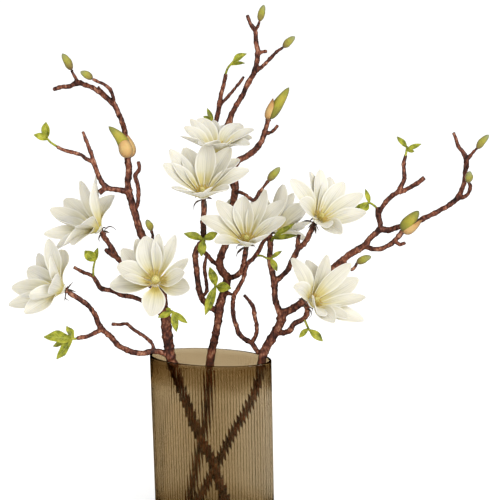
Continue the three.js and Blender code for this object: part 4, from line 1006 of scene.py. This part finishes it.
class MAGNOLIA_OT_blooms(bpy.types.Operator):
    """Nine open blooms, each a whorl of broad creamy petals on the disc that carries them"""
    bl_idname = "magnolia.blooms"
    bl_label = "Blooms"

    def execute(self, context):
        skin = petal_skin(context.scene.magnolia_colours)
        template = grid("petal", 8, 16)
        for number, bloom in enumerate(BLOOMS, 1):
            chance = random.Random(40 + number)
            axis = axis_of(bloom["axis"])
            base = seen(*bloom["base"]) + axis * DISC_START
            petals = [copy_of(template, f"petal_{i}") for i in range(len(bloom["tips"]))]
            for piece, tip in zip(petals, bloom["tips"]):
                petal(piece, base + axis * 4, bloom, context.scene.magnolia_sizes, chance, *tip)
            whorl = thickened(joined("whorl", petals), 0.9)
            disc = ball("disc", 24, 10)
            shape_ball(disc, base, base + axis * DISC_HEIGHT, DISC_RADIUS, DISC_RADII)
            dressed(joined(f"bloom_{number}", [whorl, disc]), skin, "petal", f"bloom_{number}_petals")
        bpy.data.objects.remove(template)
        return {"FINISHED"}


class MAGNOLIA_OT_sepals(bpy.types.Operator):
    """The dry sepals that curl back from the stalk under each bloom"""
    bl_idname = "magnolia.sepals"
    bl_label = "Sepals"

    def execute(self, context):
        skin = sepal_skin(context.scene.magnolia_colours)
        template = grid("sepal", 4, 10)
        for number, bloom in enumerate(BLOOMS, 1):
            chance = random.Random(60 + number)
            axis = axis_of(bloom["axis"])
            foot = seen(*bloom["base"]) - axis * 3
            across, other = square_to(axis)
            sepals = []
            for i in range(SEPALS):
                angle = 2 * math.pi * (i + 0.6 * chance.random()) / SEPALS
                out = across * math.cos(angle) + other * math.sin(angle)
                long = chance.uniform(12, 20)
                start = foot + out * 3.4
                tip = start + out * long * 0.85 - axis * long * chance.uniform(0.1, 0.6)
                sepals.append(copy_of(template, f"sepal_{i}"))
                shape_blade(sepals[-1], start, tip, axis, chance.uniform(4, 6.5), SEPAL_WIDTHS, {
                    "cup": 1.2, "bow": chance.uniform(-0.3, 0.05), "tip": chance.uniform(-3, 1),
                    "twist": chance.uniform(-0.9, 0.9), "crease": 0.1, "wave": 0.15, "ripple": 0.06,
                    "phase": chance.uniform(0, 6.28)})
            piece = thickened(joined(f"bloom_{number}_sepals", sepals), 0.6)
            dressed(piece, skin, "husk", f"branch_{bloom['branch']}")
        bpy.data.objects.remove(template)
        return {"FINISHED"}


def stamen_template():
    """A thin five-sided thread, a metre long and wide, that is thicker towards its end."""
    deselect()
    bpy.ops.mesh.primitive_circle_add(vertices=5, radius=0.5, fill_type="NGON")
    piece = extruded(bpy.context.object, [(1 / len(STAMEN_SWELLS), share) for share in STAMEN_SWELLS])
    layer = piece.data.uv_layers.active or piece.data.uv_layers.new()
    for loop in piece.data.loops:
        layer.data[loop.index].uv = (0.5, piece.data.vertices[loop.vertex_index].co.z)
    return piece


def heart(name, bloom, template, chance):
    """The cone of pistils and the spiral of curved stamens round it."""
    knob = bloom.get("knob", 1)
    axis = axis_of(bloom["axis"])
    foot = seen(*bloom["base"]) + axis * (DISC_START + SEAT_GAP + DISC_HEIGHT)
    across, other = square_to(axis)
    cone = ball(f"{name}_cone", 24, 14)
    shape_ball(cone, foot, foot + axis * CONE_HEIGHT, CONE_RADIUS * knob, CONE_RADII, ridges=0.05)
    threads = []
    for i in range(STAMENS):
        angle = 2 * math.pi * (i * GOLDEN_TURN)
        out = across * math.cos(angle) + other * math.sin(angle)
        side = axis.cross(out)
        spread = 0.3 + 0.75 * (i / STAMENS)
        long = chance.uniform(9.5, 14) * (0.6 + 0.4 * knob)
        thick = chance.uniform(0.75, 1.05)
        threads.append(copy_of(template, f"{name}_stamen_{i}"))
        for vertex in threads[-1].data.vertices:
            t = vertex.co.z
            lean = spread * (0.5 + 0.9 * t)
            rise, reach = long * t * math.cos(lean), long * t * math.sin(lean)
            middle = foot + axis * (0.6 + rise) + out * (3.2 * knob + reach)
            middle += side * (0.6 * math.sin(3 * t + i))
            over = axis * (-math.sin(lean)) + out * math.cos(lean)
            vertex.co = (middle + (side * vertex.co.x + over * vertex.co.y) * thick) * 0.001
    return cone, joined(f"{name}_stamens", threads)


class MAGNOLIA_OT_hearts(bpy.types.Operator):
    """The pale cone and yellow stamens in the middle of each bloom"""
    bl_idname = "magnolia.hearts"
    bl_label = "Hearts"

    def execute(self, context):
        flesh = pistil_flesh(context.scene.magnolia_colours)
        thread = stamen_thread(context.scene.magnolia_colours)
        template = stamen_template()
        for number, bloom in enumerate(BLOOMS, 1):
            cone, stamens = heart(f"bloom_{number}", bloom, template, random.Random(80 + number))
            dressed(cone, flesh, "heart", f"bloom_{number}_heart")
            dressed(stamens, thread, "heart", f"bloom_{number}_heart")
        bpy.data.objects.remove(template)
        return {"FINISHED"}


# ---- buds ----
BUD_RADII = (0.3, 0.6, 0.84, 0.96, 1.0, 0.99, 0.93, 0.84, 0.7, 0.48, 0.0)
TIP_RADII = (0.34, 0.74, 0.95, 1.0, 0.98, 0.92, 0.84, 0.76, 0.66, 0.53, 0.36, 0.0)
SCALE_RADII = (0.24, 0.72, 0.93, 1.0, 0.99, 0.93, 0.83, 0.7, 0.54, 0.36, 0.18, 0.0)
HUSK_THICKNESS = 0.6
BUD_SCALE_THICKNESS = 0.5


def cut_shell(name, template, point, direction, thickness):
    """A scale: what is left of a closed form on the near side of a plane, given its thickness."""
    piece = copy_of(template, name)
    select(piece)
    edit_all()
    bpy.ops.mesh.bisect(plane_co=point * 0.001, plane_no=direction, clear_outer=True)
    bpy.ops.object.mode_set(mode="OBJECT")
    return thickened(piece, thickness, 1.0)


class MAGNOLIA_OT_flower_buds(bpy.types.Operator):
    """Three big flower buds, each a green tip breaking from a tan husk"""
    bl_idname = "magnolia.flower_buds"
    bl_label = "Flower buds"

    def execute(self, context):
        colours = context.scene.magnolia_colours
        husk_skin = bud_skin("magnolia bud husk", (
            (0.0, linear("#7a4a2c")), (0.14, colours.husk_tan), (0.5, linear("#cfab6c")),
            (0.72, colours.husk_tan), (1.0, colours.husk_edge)), 0.25)
        tip_skin = bud_skin("magnolia flower bud", (
            (0.28, linear("#86822a")), (0.5, colours.bud_green), (0.68, linear("#aca03a")),
            (0.84, linear("#8f8c30")), (1.0, linear("#6f7440"))), 0.2)
        for bud in BIG_BUDS:
            name = f"{bud['name']}_flower_bud"
            core = ball(f"{name}_tip", 32, 24)
            shape_ball(core, seen(*bud["base"]), seen(*bud["tip"]), bud["width"] / 2, TIP_RADII,
                       view_step(bud["bow"]), 0.03)
            husk = []
            for scale in bud["scales"]:
                form = ball(f"{name}_form", 32, 24)
                radius = scale["width"] / 2 - HUSK_THICKNESS
                shape_ball(form, seen(*scale["base"]), seen(*scale["tip"]), radius, SCALE_RADII, ridges=0.02)
                husk.append(cut_shell(f"{name}_scale_{len(husk)}", form, seen(*scale["cut"]),
                                      axis_of(scale["normal"]), HUSK_THICKNESS))
                bpy.data.objects.remove(form)
            dressed(rounded(core), tip_skin, "bud", f"flower_bud_{bud['name']}_tip")
            dressed(joined(f"{name}_husk", husk), husk_skin, "husk", f"flower_bud_{bud['name']}_husk")
        return {"FINISHED"}


class MAGNOLIA_OT_leaf_buds(bpy.types.Operator):
    """Nine small downy buds at the ends of the twigs"""
    bl_idname = "magnolia.leaf_buds"
    bl_label = "Leaf buds"

    def execute(self, context):
        colours = context.scene.magnolia_colours
        skin = bud_skin("downy leaf bud", (
            (0.0, linear("#6b4a2a")), (0.2, linear("#8a7a35")), (0.55, colours.bud_olive),
            (1.0, linear("#8c9060"))), 0.35)
        for number, (place, base, tip, width) in enumerate(SMALL_BUDS):
            base, tip = seen(*base), seen(*tip)
            axis = (tip - base).normalized()
            name = f"{place}_leaf_bud"
            body = ball(name, 20, 16)
            radius = width * 0.45 - BUD_SCALE_THICKNESS
            shape_ball(body, base - axis * 0.8, tip, radius, BUD_RADII, VIEW_UP * 0.8, 0.06, number)
            # A scale wraps the lower part of each bud, slanting to the left or to the right.
            slant = (axis + VIEW_UP.cross(VIEWER) * (0.7 if number % 2 else -0.7)).normalized()
            scale = cut_shell(f"{name}_scale", body, base + axis * (tip - base).length * 0.42, slant,
                              BUD_SCALE_THICKNESS)
            dressed(joined(name, [rounded(body), scale]), skin, "bud", f"leaf_bud_{place}")
        return {"FINISHED"}


# ---- leaves ----
LEAF_WIDTHS = (0.14, 0.4, 0.66, 0.86, 0.97, 1.0, 0.96, 0.84, 0.62, 0.34, 0.06)
# How much thicker the stalks look than the solids' stalks.
STALK_SHARE = 1.35


class MAGNOLIA_OT_leaves(bpy.types.Operator):
    """Thirteen sprigs of young leaves on short green stalks"""
    bl_idname = "magnolia.leaves"
    bl_label = "Leaves"

    def execute(self, context):
        skin = leaf_skin(context.scene.magnolia_colours)
        template = grid("leaf", 8, 14)
        for number, sprig in enumerate(SPRIGS):
            chance = random.Random(100 + number)
            name = f"{sprig['name']}_leaves"
            leaves = []
            for start, end, width in sprig["leaves"]:
                leaves.append(copy_of(template, f"{name}_{len(leaves)}"))
                tilt = Vector((chance.uniform(-0.25, 0.25), 0, chance.uniform(0, 0.5)))
                shape_blade(leaves[-1], seen(*start), seen(*end), VIEWER + tilt, width, LEAF_WIDTHS, {
                    "cup": 0.5, "bow": -0.08, "tip": chance.uniform(-1, 1),
                    "twist": chance.uniform(-0.3, 0.3), "crease": 0.22, "wave": chance.uniform(0.05, 0.16),
                    "ripple": sprig.get("lobed", 0.03), "phase": chance.uniform(0, 6.28)})
            blades = thickened(joined(name, leaves), 0.7)
            points = [(seen(*place), STALK_SHARE * width) for *place, width in sprig["stalk"]]
            stalk = tubes(f"{name}_stalk", [smooth_path(points, 2)])
            piece = joined(name, [blades, stalk])
            dressed(piece, skin, "leaf", f"leaves_{sprig['name']}")
        bpy.data.objects.remove(template)
        return {"FINISHED"}


# ---- studio ----
LAMP_AIM = Vector((0.06, 0, 0.4))
FILL_SHARE = 0.15
SENSOR_WIDTH = 36


class MAGNOLIA_OT_studio(bpy.types.Operator):
    """White floor, soft light and the camera that sees the vase a little from above"""
    bl_idname = "magnolia.studio"
    bl_label = "Studio"

    def execute(self, context):
        scene = context.scene
        sizes = scene.magnolia_sizes
        deselect()
        bpy.ops.mesh.primitive_plane_add(size=40)
        floor = bpy.context.object
        floor.name = "studio_floor"
        floor.data.materials.append(opal_acrylic(scene.magnolia_colours))
        floor.visible_glossy = False

        world = bpy.data.worlds.new("soft studio")
        world.use_nodes = True
        back = world.node_tree.nodes["Background"]
        back.inputs["Color"].default_value = (1, 1, 1, 1)
        back.inputs["Strength"].default_value = sizes.room_light
        world.cycles_visibility.glossy = False
        scene.world = world
        for name, place, wide, power in (
                ("key", (1.8, -1.7, 2.2), 1.4, sizes.key_light),
                ("fill", (-2.0, -1.6, 1.4), 1.6, FILL_SHARE * sizes.key_light)):
            bpy.ops.object.light_add(type="AREA", location=place)
            lamp = bpy.context.object
            lamp.name = name
            lamp.data.size = wide
            lamp.data.energy = power
            lamp.rotation_euler = (Vector(place) - LAMP_AIM).to_track_quat("Z", "Y").to_euler()
            lamp.visible_camera = False

        centre_right, centre_up = unroll(*VIEW_CENTRE)
        spot = Vector((centre_right, 0, 0)) + VIEW_UP * centre_up + VIEWER * VIEW_DISTANCE
        across = Vector((1, 0, 0)) * math.cos(VIEW_ROLL) - VIEW_UP * math.sin(VIEW_ROLL)
        upward = Vector((1, 0, 0)) * math.sin(VIEW_ROLL) + VIEW_UP * math.cos(VIEW_ROLL)
        bpy.ops.object.camera_add()
        camera = bpy.context.object
        camera.data.sensor_width = SENSOR_WIDTH
        camera.data.lens = SENSOR_WIDTH * VIEW_DISTANCE / VIEW_WIDTH
        camera.data.clip_end = 100
        pose = Matrix((across, upward, VIEWER)).transposed().to_4x4()
        pose.translation = spot / 1000
        camera.matrix_world = pose
        scene.camera = camera
        scene.view_settings.view_transform = "Standard"
        return {"FINISHED"}


# ---- settings ----
def size(name, description, default, **more):
    return bpy.props.FloatProperty(
        name=name, description=description, default=default, min=0, precision=4, **more)


def colour(name, description, default):
    return bpy.props.FloatVectorProperty(
        name=name, description=description, default=linear(default), size=4, min=0, max=1, subtype="COLOR")


class MagnoliaSizes(bpy.types.PropertyGroup):
    flutes: bpy.props.IntProperty(
        name="Flutes", description="Upright flutes round the vase", default=100, min=12)
    flute_rise: size("Flute rise", "How far a flute stands proud of its sides", 0.00022, unit="LENGTH")
    groove_depth: size("Groove depth", "Depth of the fine grooves inside", 0.0006, unit="LENGTH")
    petal_length: size("Petal length", "From the middle of a bloom to a petal's tip", 0.084, unit="LENGTH")
    petal_width: size("Petal width", "Across the broadest part of a petal", 0.0335, unit="LENGTH")
    room_light: size("Room light", "Strength of the white light from all round", 1.0)
    key_light: size("Key light", "Power of the soft lamp at the upper right", 41.0, unit="POWER")


class MagnoliaColours(bpy.types.PropertyGroup):
    glass_tint: colour("Glass tint", "Colour of light that has passed through the glass", "#b89c3b")
    glass_density: size("Glass density", "How strongly the glass takes in light, per metre", 450.0)
    # The bark's crease colour is painted shade, and its ridge colour is a painted highlight over their paler
    # tone.
    bark_crease_shade: colour("Bark crease", "The darkest creases of the bark", "#2a120b")
    bark_brown: colour("Bark brown", "The bark in half shade", "#54291c")
    bark_red: colour("Bark red", "The bark's main colour", "#834a33")
    bark_ridge_highlight: colour("Bark ridge", "The bark's pale ridges", "#c49274")
    petal_throat: colour("Petal throat", "Where a petal meets the heart", "#c2b04a")
    petal_glow: colour("Petal glow", "Just above the throat", "#d6c886")
    petal_cream: colour("Petal cream", "The middle of a petal", "#dcd7be")
    petal_white: colour("Petal white", "The end of a petal", "#dfdbce")
    # A painted highlight along the margins of a petal.
    petal_edge_highlight: colour("Petal edge", "The margins of a petal", "#efece2")
    leaf_deep: colour("Leaf deep", "A leaf's darker patches", "#5a6010")
    leaf_green: colour("Leaf green", "A leaf's main colour", "#96991e")
    leaf_light: colour("Leaf light", "A leaf's lighter patches", "#beba3c")
    leaf_vein: colour("Leaf vein", "A leaf's veins", "#c3c868")
    sepal_dark: colour("Sepal dark", "A dry sepal's dark patches", "#2c2420")
    sepal_dry: colour("Sepal dry", "A dry sepal's main colour", "#6a5348")
    pistil: colour("Pistil", "The cone of pistils", "#d8cd8a")
    pistil_pit: colour("Pistil pit", "Between the pistils", "#a8a04c")
    stamen: colour("Stamen", "The stamens' middles", "#d8c268")
    stamen_end: colour("Stamen end", "The stamens' ends", "#b18a3a")
    bud_green: colour("Bud green", "The flower buds' green tips", "#a49c2c")
    bud_olive: colour("Bud olive", "The small leaf buds", "#a09b34")
    husk_tan: colour("Husk tan", "The flower buds' papery husks", "#c09458")
    husk_edge: colour("Husk edge", "The torn edge of a husk", "#8a5a34")
    studio_floor: colour("Floor", "The studio floor", "#fdfdfd")


class MAGNOLIA_PT_sidebar(bpy.types.Panel):
    """Lists what models and finishes the branches and their vase"""
    bl_idname = "MAGNOLIA_PT_sidebar"
    bl_label = "Magnolia branches"
    bl_space_type = "VIEW_3D"
    bl_region_type = "UI"
    bl_category = "Magnolia"

    def draw(self, context):
        for step in STEPS:
            self.layout.operator(step.bl_idname)
        for settings in (context.scene.magnolia_sizes, context.scene.magnolia_colours):
            column = self.layout.column()
            for name in settings.__annotations__:
                column.prop(settings, name)


STEPS = (
    MAGNOLIA_OT_studio, MAGNOLIA_OT_vase, MAGNOLIA_OT_branches, MAGNOLIA_OT_sepals, MAGNOLIA_OT_blooms,
    MAGNOLIA_OT_hearts, MAGNOLIA_OT_flower_buds, MAGNOLIA_OT_leaf_buds, MAGNOLIA_OT_leaves)
CLASSES = (MagnoliaSizes, MagnoliaColours, MAGNOLIA_PT_sidebar) + STEPS


def register():
    for kind in CLASSES:
        bpy.utils.register_class(kind)
    bpy.types.Scene.magnolia_sizes = bpy.props.PointerProperty(type=MagnoliaSizes)
    bpy.types.Scene.magnolia_colours = bpy.props.PointerProperty(type=MagnoliaColours)


def unregister():
    del bpy.types.Scene.magnolia_colours
    del bpy.types.Scene.magnolia_sizes
    for kind in reversed(CLASSES):
        bpy.utils.unregister_class(kind)


def main():
    register()
    for step in STEPS:
        area, _, verb = step.bl_idname.partition(".")
        getattr(getattr(bpy.ops, area), verb)()


if __name__ == "__main__":
    main()
